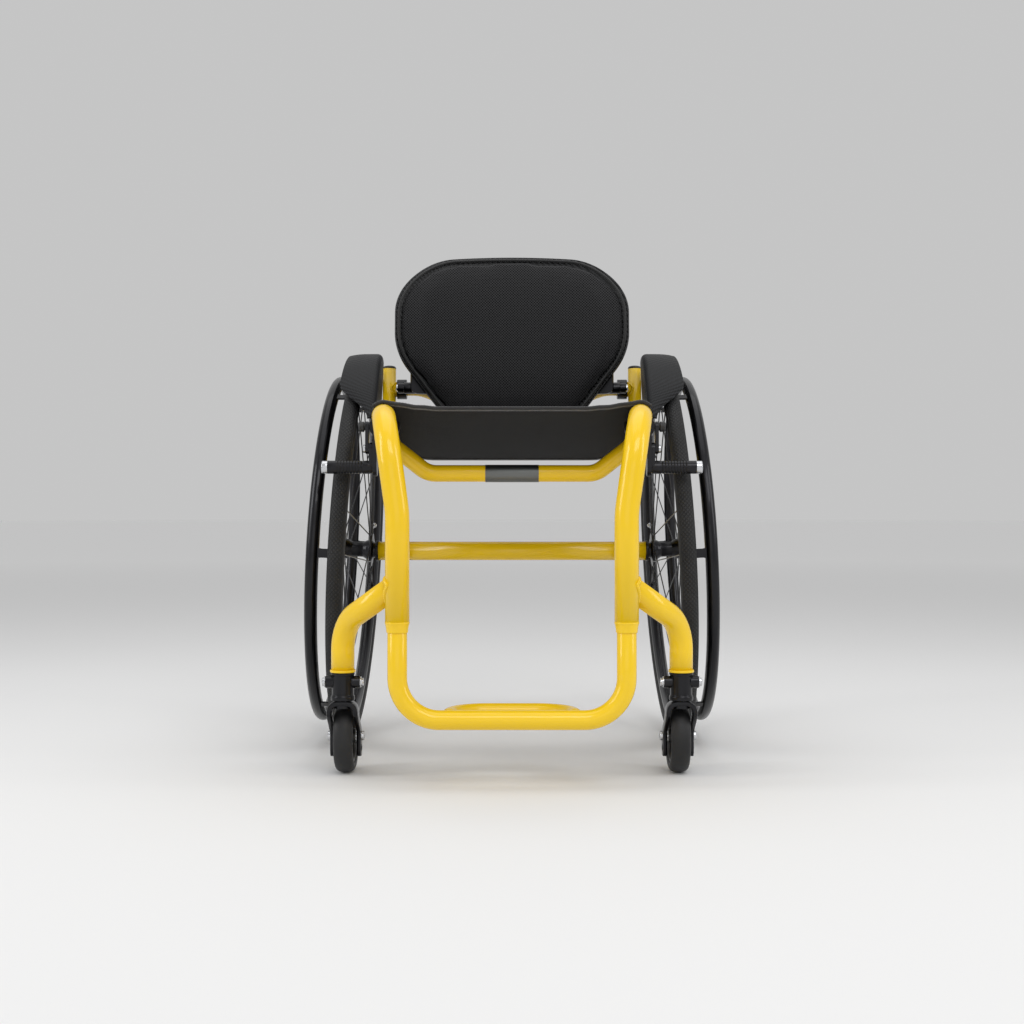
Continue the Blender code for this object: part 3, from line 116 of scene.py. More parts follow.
def add_node(tree, kind, settings=(), **inputs):
    """A node with its settings and inputs filled in. A socket, or a node's first output, is linked.

    An input goes by its name, with _ for a space, or by its number, as i0, i1 and so on.
    """
    made = tree.nodes.new(kind)
    for key, value in dict(settings).items():
        setattr(made, key, value)
    for key, value in inputs.items():
        by_number = key[0] == "i" and key[1:].isdigit()
        target = made.inputs[int(key[1:]) if by_number else key.replace("_", " ")]
        if isinstance(value, bpy.types.Node):
            value = value.outputs[0]
        if isinstance(value, bpy.types.NodeSocket):
            tree.links.new(value, target)
        else:
            target.default_value = value
    return made


def maths(tree, operation, first, second=0.0):
    """The result socket of one sum on two numbers or sockets."""
    return add_node(tree, "ShaderNodeMath", {"operation": operation}, i0=first, i1=second).outputs[0]


print("every coat has a roughness of", COAT_ROUGHNESS)

# %% What a finish does
def grain(place, scale, detail=4.0, roughness=0.5):
    """Noise over the piece, as many lumps to the metre as the scale says."""
    return add_node(place.id_data, "ShaderNodeTexNoise", Vector=place.outputs["Object"], Scale=scale,
                    Detail=detail, Roughness=roughness).outputs["Fac"]


def soft_step(tree, value, low, high):
    """0 up to low, 1 from high on, and a soft step between them."""
    return add_node(tree, "ShaderNodeMapRange", {"interpolation_type": "SMOOTHSTEP"}, Value=value,
                    From_Min=low, From_Max=high).outputs["Result"]


def colour_between(shader, amount, low, high):
    """Base colour that goes from low to high as the amount goes from 0.3 to 0.7."""
    tree = shader.id_data
    ramp = add_node(tree, "ShaderNodeValToRGB", Fac=amount)
    for stop, position, colour in zip(ramp.color_ramp.elements, (0.3, 0.7), (low, high)):
        stop.position = position
        stop.color = (*colour, 1.0)
    tree.links.new(ramp.outputs["Color"], shader.inputs["Base Color"])


def shades_of(colour):
    """The deepest and the palest tone of a colour that is painted darker in its shade, as in tread grooves
    and between threads.
    """
    return [tuple(share * part for part in colour) for share in (0.45, 1.6)]


def rough_between(shader, amount, low, high):
    """Roughness that follows an amount from 0 to 1."""
    spread = add_node(shader.id_data, "ShaderNodeMapRange", Value=amount, To_Min=low, To_Max=high)
    shader.id_data.links.new(spread.outputs["Result"], shader.inputs["Roughness"])


def raise_surface(shader, height, distance, coat=False):
    """Bump of a real height in metres, in the coat too where the finish has a thick one."""
    bump = add_node(shader.id_data, "ShaderNodeBump", Height=height, Distance=distance, Strength=1.0)
    for socket in ("Normal", "Coat Normal") if coat else ("Normal",):
        shader.id_data.links.new(bump.outputs["Normal"], shader.inputs[socket])


print("shades of a mid grey:", shades_of((0.5, 0.5, 0.5)))

# %% [markdown]
# ## Yellow powder coat
# The frame is powder coated: a thick plastic skin that melts into a glossy yellow with a faint
# orange-peel ripple. Two slow tints keep long tubes from looking like one flat colour, and a coat
# layer gives the sharp highlight over the softer one of the pigment.

# %% Yellow powder coat
yellow_paint, shader, place = new_finish("yellow_powder_coat", (0.88, 0.570, 0.006), 0.25, coat=0.32,
                                         specular=0.36)
colour_between(shader, grain(place, 2.0, detail=1.0), (0.868, 0.553, 0.005), (0.900, 0.592, 0.008))
rough_between(shader, grain(place, 18.0, detail=2.0), 0.22, 0.29)
raise_surface(shader, grain(place, 420.0, detail=1.0), 0.000025, coat=True)
print("paint:", yellow_paint.name)

# %% [markdown]
# ## Metals
# Clamps, forks and rims are black anodised aluminium, which keeps the metal's sheen under its dye.
# Axles and bolts are plain steel: the grain across the piece is stretched noise, as a lathe leaves it.

# %% Metals
def metal(name, colour, roughness, spread, scale, depth, coat=0.0):
    """A metal whose roughness wanders, with fine tool marks."""
    material, shader, place = new_finish(name, colour, roughness, metallic=1.0, coat=coat)
    tree = material.node_tree
    stretch = add_node(tree, "ShaderNodeMapping", Vector=place.outputs["Object"], Scale=(1.0, 1.0, 6.0))
    marks = add_node(tree, "ShaderNodeTexNoise", Vector=stretch, Scale=scale, Detail=3.0)
    rough_between(shader, marks, roughness - spread, roughness + spread)
    raise_surface(shader, marks, depth)
    return material


black_anodised = metal("black_anodised", (0.020, 0.020, 0.0223), 0.34, 0.08, 700.0, 0.00003, coat=0.25)
polished_steel = metal("polished_steel", (0.60, 0.61, 0.63), 0.22, 0.07, 420.0, 0.00002)
blackened_steel = metal("blackened_steel", (0.045, 0.045, 0.047), 0.30, 0.08, 500.0, 0.00002)
band_metal = metal("plain_grey_band", (0.17, 0.175, 0.17), 0.42, 0.10, 900.0, 0.00003)
print("metals:", black_anodised.name, polished_steel.name, blackened_steel.name, band_metal.name)

# %% [markdown]
# ## Helpers for shapes
# Every tube of the frame is a circle drawn along a path, so one Geometry Nodes tree makes them all:
# it reads the path as a line of edges and needs only a radius and a wall. A piece of the left side is
# mirrored for the right, with its faces turned round again so that they still point outwards.

# %% Node tree helpers
def start_tree(name, **sizes):
    """A Geometry Nodes tree with a geometry input and the named sizes, and its input sockets."""
    tree = bpy.data.node_groups.new(name, "GeometryNodeTree")
    tree.interface.new_socket("Geometry", in_out="INPUT", socket_type="NodeSocketGeometry")
    for label, value in sizes.items():
        kind = "NodeSocketInt" if isinstance(value, int) else "NodeSocketFloat"
        tree.interface.new_socket(label, in_out="INPUT", socket_type=kind).default_value = value
    tree.interface.new_socket("Finish", in_out="INPUT", socket_type="NodeSocketMaterial")
    tree.interface.new_socket("Geometry", in_out="OUTPUT", socket_type="NodeSocketGeometry")
    return tree, tree.nodes.new("NodeGroupInput").outputs


def drawn_round(tree, curve, radius, sides=8, caps=False):
    """The node that draws a round tube along a curve."""
    ring = add_node(tree, "GeometryNodeCurvePrimitiveCircle", Resolution=sides, Radius=radius)
    return add_node(tree, "GeometryNodeCurveToMesh", Curve=curve, Profile_Curve=ring, Fill_Caps=caps)


def end_tree(tree, last, inputs):
    """Real geometry in place of instances, smooth, in the finish that the tree is given."""
    real = add_node(tree, "GeometryNodeRealizeInstances", Geometry=last)
    shaded = add_node(tree, "GeometryNodeSetShadeSmooth", Geometry=real)
    painted = add_node(tree, "GeometryNodeSetMaterial", Geometry=shaded, Material=inputs["Finish"])
    tree.links.new(painted.outputs[0], tree.nodes.new("NodeGroupOutput").inputs[0])


print("node trees before the first one here:", len(bpy.data.node_groups))

# %% Meshes from modifiers and trees
def evaluated(thing):
    """What an object's modifiers make of it, as a plain mesh."""
    return bpy.data.meshes.new_from_object(thing.evaluated_get(bpy.context.evaluated_depsgraph_get()))


def baked(thing):
    """The same, with the object itself taken away."""
    mesh = evaluated(thing)
    bpy.data.objects.remove(thing)
    return mesh


def add_wall(thing, thickness, offset=-1):
    """Give an object's sheet a wall, below its face or, with an offset of 1, above it."""
    wall = thing.modifiers.new("wall", "SOLIDIFY")
    wall.thickness = thickness
    wall.offset = offset


def grow(name, tree, source, finish, wall=0.0, **sizes):
    """Run a tree over a mesh, and keep what it makes as a plain mesh."""
    thing = in_scene(name, source)
    modifier = thing.modifiers.new("grow", "NODES")
    modifier.node_group = tree
    for item in tree.interface.items_tree:
        if item.in_out == "INPUT" and item.name in {"Finish", *sizes}:
            modifier[item.identifier] = finish if item.name == "Finish" else sizes[item.name]
    if wall:
        add_wall(thing, wall)
    return baked(thing)


def line_mesh(points, closed=False):
    """A mesh of edges only, for a tree to follow."""
    mesh = bpy.data.meshes.new("line")
    edges = [(index, index + 1) for index in range(len(points) - 1)]
    if closed:
        edges.append((len(points) - 1, 0))
    mesh.from_pydata([tuple(point) for point in points], edges, [])
    return mesh


print("meshes before the first piece:", len(bpy.data.meshes))

# %% Piece helpers
SIDES = ("left", "right")


def piece(name, mesh, body, *nodes):
    """Put a finished mesh in the scene, riding on its body and standing for its CAD nodes."""
    thing = in_scene(name, mesh)
    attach(thing, body)
    if nodes:
        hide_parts(*nodes)
    return thing


def both_sides(name, mesh, body, *nodes):
    """A left-hand piece and its mirror image. {side} in a body's name takes the side."""
    twin = mesh.copy()
    twin.transform(Matrix.Scale(-1, 4, (1, 0, 0)))
    twin.flip_normals()
    for side, shape in zip(SIDES, (mesh, twin)):
        piece(f"{name}_{side}", shape, body.format(side=side), *[f"{node}_{side}" for node in nodes])


def refinish(finish, *nodes):
    """Give CAD nodes of both sides a finish, and leave their shape as it is."""
    for node in nodes:
        for side in SIDES:
            for slot in frame["nodes"][f"{node}_{side}"].material_slots:
                slot.material = finish


def merged(*meshes):
    """Several meshes of one finish as one."""
    bm = bmesh.new()
    for mesh in meshes:
        bm.from_mesh(mesh)
    whole = bpy.data.meshes.new(meshes[0].name)
    bm.to_mesh(whole)
    bm.free()
    for material in meshes[0].materials:
        whole.materials.append(material)
    return whole


# %% Bent tubes
def bent(corners, bends, step=math.radians(3)):
    """Points along straight runs with an arc at each inner corner, as a tube bender leaves them."""
    corners = [Vector(corner) for corner in corners]
    points = [corners[0]]
    for before, corner, after, radius in zip(corners, corners[1:], corners[2:], bends):
        arriving = (corner - before).normalized()
        leaving = (after - corner).normalized()
        turn = arriving.angle(leaving)
        centre = corner + (leaving - arriving).normalized() * radius / math.cos(turn / 2)
        start = corner - arriving * radius * math.tan(turn / 2)
        axis = arriving.cross(leaving).normalized()
        count = max(2, math.ceil(turn / step))
        points += [centre + Matrix.Rotation(turn * index / count, 3, axis) @ (start - centre)
                   for index in range(count + 1)]
    points.append(corners[-1])
    return points


def across_chair(half):
    """A path from one side of the chair to the other, from the half on its first side."""
    return half + [(-x, y, z) for x, y, z in reversed(half)]


tube_tree, tube_in = start_tree("tube_on_a_path", Radius=0.016, Sides=48)
path = add_node(tube_tree, "GeometryNodeMeshToCurve", Mesh=tube_in["Geometry"])
end_tree(tube_tree, drawn_round(tube_tree, path, tube_in["Radius"], tube_in["Sides"]), tube_in)


def tube(name, points, radius, wall):
    """A hollow yellow tube along a path."""
    return grow(name, tube_tree, line_mesh(points), yellow_paint, wall=wall, Radius=radius)


print("tube tree inputs:", [item.name for item in tube_tree.interface.items_tree if item.in_out == "INPUT"])

# %% [markdown]
# ## The side tubes and the footrest
# Each side of the frame is one tube, bent in two planes: it runs forwards as the seat rail, turns down
# at the knee, leans inwards and ends as an open sleeve. The footrest is a thinner tube that slides in
# both sleeves, which is how its height is set, and it carries a small loop that keeps the heels in.

# %% Side tubes
MAIN_RADIUS = 0.016
RAIL_END = Vector((0.2045, REAR_AXLE_Y + 0.075, 0.437))
KNEE = Vector((0.169, FRONT_Y, 0.5025))
SLEEVE_X = 0.1495
SLEEVE_END = 0.211
MOUTH_TOP = SLEEVE_END + 0.0078
side_path = bent([RAIL_END, KNEE, (SLEEVE_X, FRONT_Y, 0.362), (SLEEVE_X, FRONT_Y, MOUTH_TOP)],
                 [0.075, 0.150])


def rail_at(y):
    """The middle of the left seat rail at a distance y along the chair."""
    return KNEE.lerp(RAIL_END, (y - FRONT_Y) / (RAIL_END.y - FRONT_Y))


both_sides("side_tube", tube("side_tube", side_path, MAIN_RADIUS, 0.002), "frame", "main_tube")
print("side tube path:", len(side_path), "points")

# %% Footrest tube and heel loop
FOOT_RADIUS = 0.0129
FOOT_HEIGHT = 0.0918
LOOP_RADIUS = 0.011
LOOP_ROOT = Vector((0.083, FRONT_Y, FOOT_HEIGHT))
LOOP_CORNER = Vector((0.083, FRONT_Y + 0.085, FOOT_HEIGHT))
foot_path = bent(across_chair([(SLEEVE_X, FRONT_Y, SLEEVE_END + 0.085), (SLEEVE_X, FRONT_Y, FOOT_HEIGHT)]),
                 [0.055, 0.055])
piece("foot_tube", tube("foot_tube", foot_path, FOOT_RADIUS, 0.0018), "footrest", "footrest_tube")
loop_start = LOOP_ROOT + Vector((0, FOOT_RADIUS - 0.001, 0))
loop_path = bent(across_chair([loop_start, LOOP_CORNER]), [0.05, 0.05])
piece("heel_loop", tube("heel_loop", loop_path, LOOP_RADIUS, 0.0016), "footrest", "foot_loop")
print("footrest path:", len(foot_path), "points, heel loop:", len(loop_path))

# %% [markdown]
# ## Lathe work
# Hubs, bolts, caps, rims and tyres are all turned shapes: a section spun round an axis. The section
# is written as plain corners, and each corner is eased before it is spun, because a real edge is never
# perfectly sharp, and the small round is what catches the light.

# %% Sections
def ring_section(inner, outer, low, high):
    """The four corners of a plain ring or, with an inner radius of 0, of a rod or a disc."""
    return [(inner, low), (outer, low), (outer, high), (inner, high)]


def even_section(half):
    """A ring's section that is alike above and below its middle plane, from its upper half."""
    return half + [(radius, -height) for radius, height in reversed(half)]


def eased(corners, size, steps=3, ring=False):
    """Round the corners of a flat section, each by no more than its edges have room for."""
    corners = [Vector(corner) for corner in corners]
    points = []
    last = len(corners) - 1
    for index, corner in enumerate(corners):
        if not ring and index in (0, last):
            points.append(corner)
            continue
        before = corners[index - 1] - corner
        after = corners[(index + 1) % len(corners)] - corner
        start = corner + before.normalized() * min(size, before.length * 0.45)
        end = corner + after.normalized() * min(size, after.length * 0.45)
        for step in range(steps + 1):
            share = step / steps
            points.append(start.lerp(corner, share).lerp(corner.lerp(end, share), share))
    return points


print("points of an eased square:", len(eased(ring_section(1, 2, 0, 1), 0.1, ring=True)))

# %% Meshes from a bmesh
CRISP_ANGLE = 32                      # degrees


def bridged(bm, rows, closed=True):
    """Faces between rows of points, and from each row's last point to its first where it is closed."""
    count = len(rows[0])
    for low, high in zip(rows, rows[1:]):
        for k in range(count if closed else count - 1):
            bm.faces.new((low[k], low[(k + 1) % count], high[(k + 1) % count], high[k]))


def capped(bm, rows):
    """Faces between closed rows of points, and one over each end."""
    bridged(bm, rows)
    bm.faces.new(rows[0])
    bm.faces.new(list(reversed(rows[-1])))


def bevelled(bm, edges, size):
    """Round some edges by a size."""
    bmesh.ops.bevel(bm, geom=list(edges), offset=size, segments=2, affect="EDGES", clamp_overlap=True)


def as_mesh(name, bm, finish=None):
    """A mesh of a bmesh as it stands, which ends the bmesh."""
    mesh = bpy.data.meshes.new(name)
    bm.to_mesh(mesh)
    bm.free()
    if finish:
        mesh.materials.append(finish)
    return mesh


def smooth(mesh, angle=CRISP_ANGLE):
    """Smooth shading, with edges sharper than the angle kept crisp."""
    mesh.shade_smooth()
    mesh.set_sharp_from_angle(angle=math.radians(angle))
    return mesh


def built(name, bm, finish, place=None):
    """Close a bmesh into a finished mesh: doubles merged, faces outwards, edges kept crisp."""
    if place:
        bm.transform(place)
    bmesh.ops.remove_doubles(bm, verts=bm.verts, dist=1e-6)
    bmesh.ops.recalc_face_normals(bm, faces=bm.faces)
    return smooth(as_mesh(name, bm, finish))


print("edges stay crisp from", CRISP_ANGLE, "degrees")

# %% Lathe
def facing(point, direction):
    """A place at a point whose Z axis looks along a direction."""
    turn = Vector(direction).to_track_quat("Z", "Y").to_matrix().to_4x4()
    return Matrix.Translation(point) @ turn


def lifted(place, height):
    """The same place, a height further along its Z axis."""
    return place @ Matrix.Translation((0, 0, height))


def turned(name, corners, place, finish, sides=64, ease=0.0006, ring=False):
    """Spin a section of (radius, height) corners round the place's Z axis."""
    section = eased(corners, ease, ring=ring)
    bm = bmesh.new()
    first = [bm.verts.new((point.x, 0, point.y)) for point in section]
    edges = [bm.edges.new(pair) for pair in zip(first, first[1:])]
    if ring:
        edges.append(bm.edges.new((first[-1], first[0])))
    bmesh.ops.spin(bm, geom=first + edges, axis=(0, 0, 1), cent=(0, 0, 0), angle=2 * math.pi,
                   steps=sides, use_merge=True)
    return built(name, bm, finish, place)


def turned_pair(name, corners, place, finish, body, *nodes, **shape):
    """A turned piece of the left side and its mirror image."""
    mesh = turned(name, corners, place, finish, **shape)
    both_sides(name, mesh, body, *nodes)
    return mesh


print("the Z axis of a place that faces +X:", rounded(facing((0, 0, 0), (1, 0, 0)).col[2]))

# %% Bolt heads
BOLT_SIDES = 36
SOCKET_SHARE = 0.46                   # of the head's radius, to the corners of its socket
SOCKET_FLOOR = 0.35                   # of the head's height


def hex_bolt(place, radius, height, finish):
    """A bolt head with a round rim and a hexagon socket sunk in its top."""
    turns = [2 * math.pi * k / BOLT_SIDES for k in range(BOLT_SIDES)]
    flat = radius * SOCKET_SHARE * math.cos(math.pi / 6)
    hexagon = [flat / math.cos(turn % (math.pi / 3) - math.pi / 6) for turn in turns]
    levels = [([share * radius] * BOLT_SIDES, rise * height)
              for share, rise in ((1, 0), (1, 0.75), (0.86, 1), (0.5, 1))]
    levels += [(hexagon, height), (hexagon, SOCKET_FLOOR * height)]
    bm = bmesh.new()
    rows = [[bm.verts.new((size * math.cos(turn), size * math.sin(turn), level))
             for size, turn in zip(sizes, turns)] for sizes, level in levels]
    bridged(bm, rows)
    bm.faces.new(rows[-1])
    bm.faces.new(list(reversed(rows[0])))
    return built("bolt_head", bm, finish, place)


def bolt_heads(finish, *heads):
    """Bolt heads, each from its spot, its direction, its radius and its height."""
    return [hex_bolt(facing(spot, way), radius, height, finish) for spot, way, radius, height in heads]


print("lathe ready, bolt heads have", BOLT_SIDES, "sides")

# %% [markdown]
# ## The cross tube, the axle tube and the caster arms
# A dropped tube under the seat ties the two side tubes together, and a straight one behind carries
# the wheels. Both are drawn like the side tubes. A bare grey band goes round the middle of the cross
# tube. Each caster arm ends in a swaged rim, which is a short turned ring pressed out of the tube.

# %% Cross tube and its band
CROSS_RADIUS = 0.012
CROSS_Y = FRONT_Y + 0.182
CROSS_LOW = 0.418
BAND_HALF = 0.038
rail = rail_at(CROSS_Y)
half_cross = [(-rail.x, CROSS_Y, rail.z), (0.0135 - rail.x, CROSS_Y, 0.4555), (-0.120, CROSS_Y, CROSS_LOW)]
cross_path = bent(across_chair(half_cross), [0.020, 0.035, 0.035, 0.020])
piece("cross_tube", tube("cross_tube", cross_path, CROSS_RADIUS, 0.0018), "frame", "front_cross_tube")
band_skin = ring_section(CROSS_RADIUS + 0.0001, CROSS_RADIUS + 0.0005, -BAND_HALF, BAND_HALF)
band = turned("grey_band", band_skin, facing((0, CROSS_Y, CROSS_LOW), (1, 0, 0)), band_metal, ring=True,
              ease=0.0002)
piece("grey_band", band, "frame")
print("cross tube path:", len(cross_path), "points")

# %% Axle tube, stems and collars
CAMBER = math.radians(3)
HALF_TRACK = 0.2485
WHEEL_CENTRE = Vector(next(joint["pos_m"] for joint in frame["joints"] if joint["name"] == "wheel_spin_left"))


def middle_height(node):
    """Height of the middle of a CAD node's box."""
    low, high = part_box(node)
    return (low[2] + high[2]) / 2


AXLE_TUBE_HALF = 0.215
AXLE_TUBE_RADIUS = 0.015
AXLE_TUBE_Z = middle_height("axle_tube")
axle_ends = [(-AXLE_TUBE_HALF, REAR_AXLE_Y, AXLE_TUBE_Z), (AXLE_TUBE_HALF, REAR_AXLE_Y, AXLE_TUBE_Z)]
piece("axle_tube_skin", tube("axle_tube_skin", axle_ends, AXLE_TUBE_RADIUS, 0.0022), "frame", "axle_tube")
STEM_RADIUS = 0.0125
COLLAR_RADIUS = 0.0202
stem_top = rail_at(REAR_AXLE_Y)
stem_foot = Vector((AXLE_TUBE_HALF - 0.028, REAR_AXLE_Y, AXLE_TUBE_Z))
stem = tube("stem", [stem_top, stem_foot], STEM_RADIUS, 0)
collar = turned("collar", ring_section(AXLE_TUBE_RADIUS - 0.001, COLLAR_RADIUS, -0.015, 0.015),
                facing(stem_foot, (1, 0, 0)), yellow_paint, ring=True, ease=0.0015)
both_sides("stem_and_collar", merged(stem, collar), "frame", "axle_stem")
print("wheel centre", rounded(WHEEL_CENTRE), "axle tube height", round(AXLE_TUBE_Z, 4))

# %% Caster arms
ARM_RADIUS = 0.016
ARM_MOUTH = 0.1435
CASTER_X = 0.232
CASTER_Y = FRONT_Y + 0.10
arm_root = Vector((SLEEVE_X, FRONT_Y, 0.268))
arm_corner = Vector((CASTER_X, CASTER_Y, 0.210))


def caster_place(x=0.0, y=0.0, z=0.0):
    """A place given from the left caster's swivel axis and the floor."""
    return Matrix.Translation((CASTER_X + x, CASTER_Y + y, z))


arm = tube("arm", bent([arm_root, arm_corner, (CASTER_X, CASTER_Y, ARM_MOUTH)], [0.055]), ARM_RADIUS, 0.002)
mouth_rim = turned("mouth_rim", ring_section(ARM_RADIUS - 0.001, ARM_RADIUS + 0.0015, 0, 0.0035),
                   caster_place(z=ARM_MOUTH), yellow_paint, ring=True)
both_sides("caster_arm_tube", merged(arm, mouth_rim), "frame", "caster_arm")
print("caster axis at", rounded((CASTER_X, CASTER_Y)))

# %% [markdown]
# ## The back uprights and the bowed bar
# Two short uprights stand on the seat rails and carry a bar that bows out behind the back shell.

# %% Uprights and bowed bar
UPRIGHT_RADIUS = 0.011
UPRIGHT_LEAN = math.tan(math.radians(4))
PIVOT_Z = 0.566
upright_foot = rail_at(REAR_AXLE_Y + 0.055)
upright_rise = PIVOT_Z + 0.034 - upright_foot.z
upright_top = upright_foot + Vector((0, upright_rise * UPRIGHT_LEAN, upright_rise))
upright = tube("upright_tube", [upright_foot, upright_top], UPRIGHT_RADIUS, 0.0018)
both_sides("upright_tube", upright, "frame", "back_upright")
BAR_RADIUS = 0.0105
BAR_Y = upright_foot.y + (PIVOT_Z - upright_foot.z) * UPRIGHT_LEAN
bar_end = Vector((upright_foot.x, BAR_Y, PIVOT_Z))
half_bar = [(-bar_end.x, BAR_Y, PIVOT_Z), (0.051 - bar_end.x, BAR_Y, PIVOT_Z),
            (-0.085, BAR_Y + 0.065, PIVOT_Z - 0.021)]
bar_path = bent(across_chair(half_bar), [0.030] * 4)
piece("bowed_bar", tube("bowed_bar", bar_path, BAR_RADIUS, 0.0018), "frame", "back_cross_bar")
print("bar y", round(BAR_Y, 4), "upright foot", rounded(upright_foot))

# %% [markdown]
# ## Weld beads
# Where one tube meets another, the real frame shows a fillet of small overlapping ripples. The line
# of each weld is found by geometry: it is where the round of the branch reaches the round of the main
# tube. One tree then draws a bead along every such line, and swells it at each ripple.

# %% Weld tree
weld_tree, weld_in = start_tree("weld_bead", Radius=0.0022, Ripple=0.0032)
weld_path = add_node(weld_tree, "GeometryNodeMeshToCurve", Mesh=weld_in["Geometry"])
weld_path = add_node(weld_tree, "GeometryNodeResampleCurve", {"mode": "LENGTH"}, Curve=weld_path,
                     Length=0.0008)
along = add_node(weld_tree, "GeometryNodeSplineParameter").outputs["Length"]
ripple = maths(weld_tree, "FRACT", maths(weld_tree, "DIVIDE", along, weld_in["Ripple"]))
swell_at = add_node(weld_tree, "ShaderNodeMath", {"operation": "MULTIPLY_ADD"},
                    i0=maths(weld_tree, "POWER", ripple, 2.0), i1=0.42, i2=0.76)
shaped = add_node(weld_tree, "GeometryNodeSetCurveRadius", Curve=weld_path, Radius=swell_at)
bead = drawn_round(weld_tree, shaped, weld_in["Radius"])
if "Scale" in bead.inputs:
    weld_tree.links.new(swell_at.outputs[0], bead.inputs["Scale"])
end_tree(weld_tree, bead, weld_in)
print("weld tree:", len(weld_tree.nodes), "nodes")

# %% Weld lines
LINE_POINTS = 48


def meeting_line(start, end, branch_radius, main_point, main_direction, main_radius):
    """Where a branch tube from start to end meets the surface of the main tube."""
    start, end, main_point = Vector(start), Vector(end), Vector(main_point)
    along = (end - start).normalized()
    main = Vector(main_direction).normalized()
    side = along.cross(main).normalized()
    other = along.cross(side)
    line = []
    for index in range(LINE_POINTS):
        turn = 2 * math.pi * index / LINE_POINTS
        skin = start + (side * math.cos(turn) + other * math.sin(turn)) * branch_radius
        flat_offset = (skin - main_point) - main * (skin - main_point).dot(main)
        flat_along = along - main * along.dot(main)
        # The branch's skin leaves the main tube where square * t ** 2 + double * t + rest is 0.
        square = flat_along.length_squared
        double = 2 * flat_offset.dot(flat_along)
        rest = flat_offset.length_squared - main_radius ** 2
        root = math.sqrt(max(0.0, double * double - 4 * square * rest))
        line.append(skin + along * (root - double) / (2 * square))
    return line


def weld(name, *meeting, radius=0.0028, body="frame"):
    """A bead round the foot of a branch tube. The meeting is what meeting_line asks for."""
    line = meeting_line(*meeting)
    both_sides(name, grow(name, weld_tree, line_mesh(line, closed=True), yellow_paint, Radius=radius), body)


print("points along each weld:", LINE_POINTS)

# %% Weld beads of the left side and their mirror images
RAIL_WAY = RAIL_END - KNEE
DOWN = (0, 0, -1)
ACROSS = (1, 0, 0)
weld("weld_arm", arm_root, arm_corner, ARM_RADIUS, arm_root, DOWN, MAIN_RADIUS, radius=0.0031)
weld("weld_cross", cross_path[-1], cross_path[-2], CROSS_RADIUS, rail_at(CROSS_Y), RAIL_WAY, MAIN_RADIUS)
weld("weld_upright", upright_foot, upright_top, UPRIGHT_RADIUS, upright_foot, RAIL_WAY, MAIN_RADIUS,
     radius=0.0023)
weld("weld_bar", bar_end, (0, BAR_Y, PIVOT_Z), BAR_RADIUS, upright_foot, upright_top - upright_foot,
     UPRIGHT_RADIUS, radius=0.0020)
weld("weld_stem_top", stem_top, stem_foot, STEM_RADIUS, stem_top, RAIL_WAY, MAIN_RADIUS)
weld("weld_stem_foot", stem_foot, stem_top, STEM_RADIUS, stem_foot, ACROSS, COLLAR_RADIUS)
weld("weld_loop", LOOP_ROOT, LOOP_CORNER, LOOP_RADIUS, (0, FRONT_Y, FOOT_HEIGHT), ACROSS, FOOT_RADIUS,
     radius=0.0024, body="footrest")
print("weld beads on each side: 7")

# %% [markdown]
# ## Rubber
# A slick tyre has a fine file tread that runs round its crown and plain walls beside it. The wheels
# lean and turn, so their patterns are read from the piece's own map: U runs once round the wheel and
# V across the section. The lathe below writes that map while it spins.

# %% Lathe with a map round the wheel
def distances(points):
    """How far each point of a line lies along it."""
    lengths = [0.0]
    for near, far in zip(points, points[1:]):
        lengths.append(lengths[-1] + (far - near).length)
    return lengths


def mapped_face(bm, chart, rows, spots, uvs):
    """A face between four places in rows of points, with its corners on the map."""
    face = bm.faces.new([rows[i][j] for i, j in spots])
    for loop, uv in zip(face.loops, uvs):
        loop[chart].uv = uv


def turned_with_map(name, corners, place, finish, sides, ease, steps):
    """A ring lathe whose UV map runs once round (U, in turns) and along its section (V, in metres)."""
    section = eased(corners, ease, steps=steps, ring=True)
    lengths = distances(section + section[:1])
    bm = bmesh.new()
    chart = bm.loops.layers.uv.new("round")
    rings = []
    for k in range(sides):
        turn = 2 * math.pi * k / sides
        rings.append([bm.verts.new((point.x * math.cos(turn), point.x * math.sin(turn), point.y))
                      for point in section])
    for k in range(sides):
        for j in range(len(section)):
            corners_at = ((k, j), (k + 1, j), (k + 1, j + 1), (k, j + 1))
            mapped_face(bm, chart, rings, [(i % sides, row % len(section)) for i, row in corners_at],
                        [(i / sides, lengths[row]) for i, row in corners_at])
    bm.transform(place)
    bmesh.ops.recalc_face_normals(bm, faces=bm.faces)
    return smooth(as_mesh(name, bm, finish))


print("distances along a unit square:", distances([Vector(corner) for corner in ring_section(0, 1, 0, 1)]))

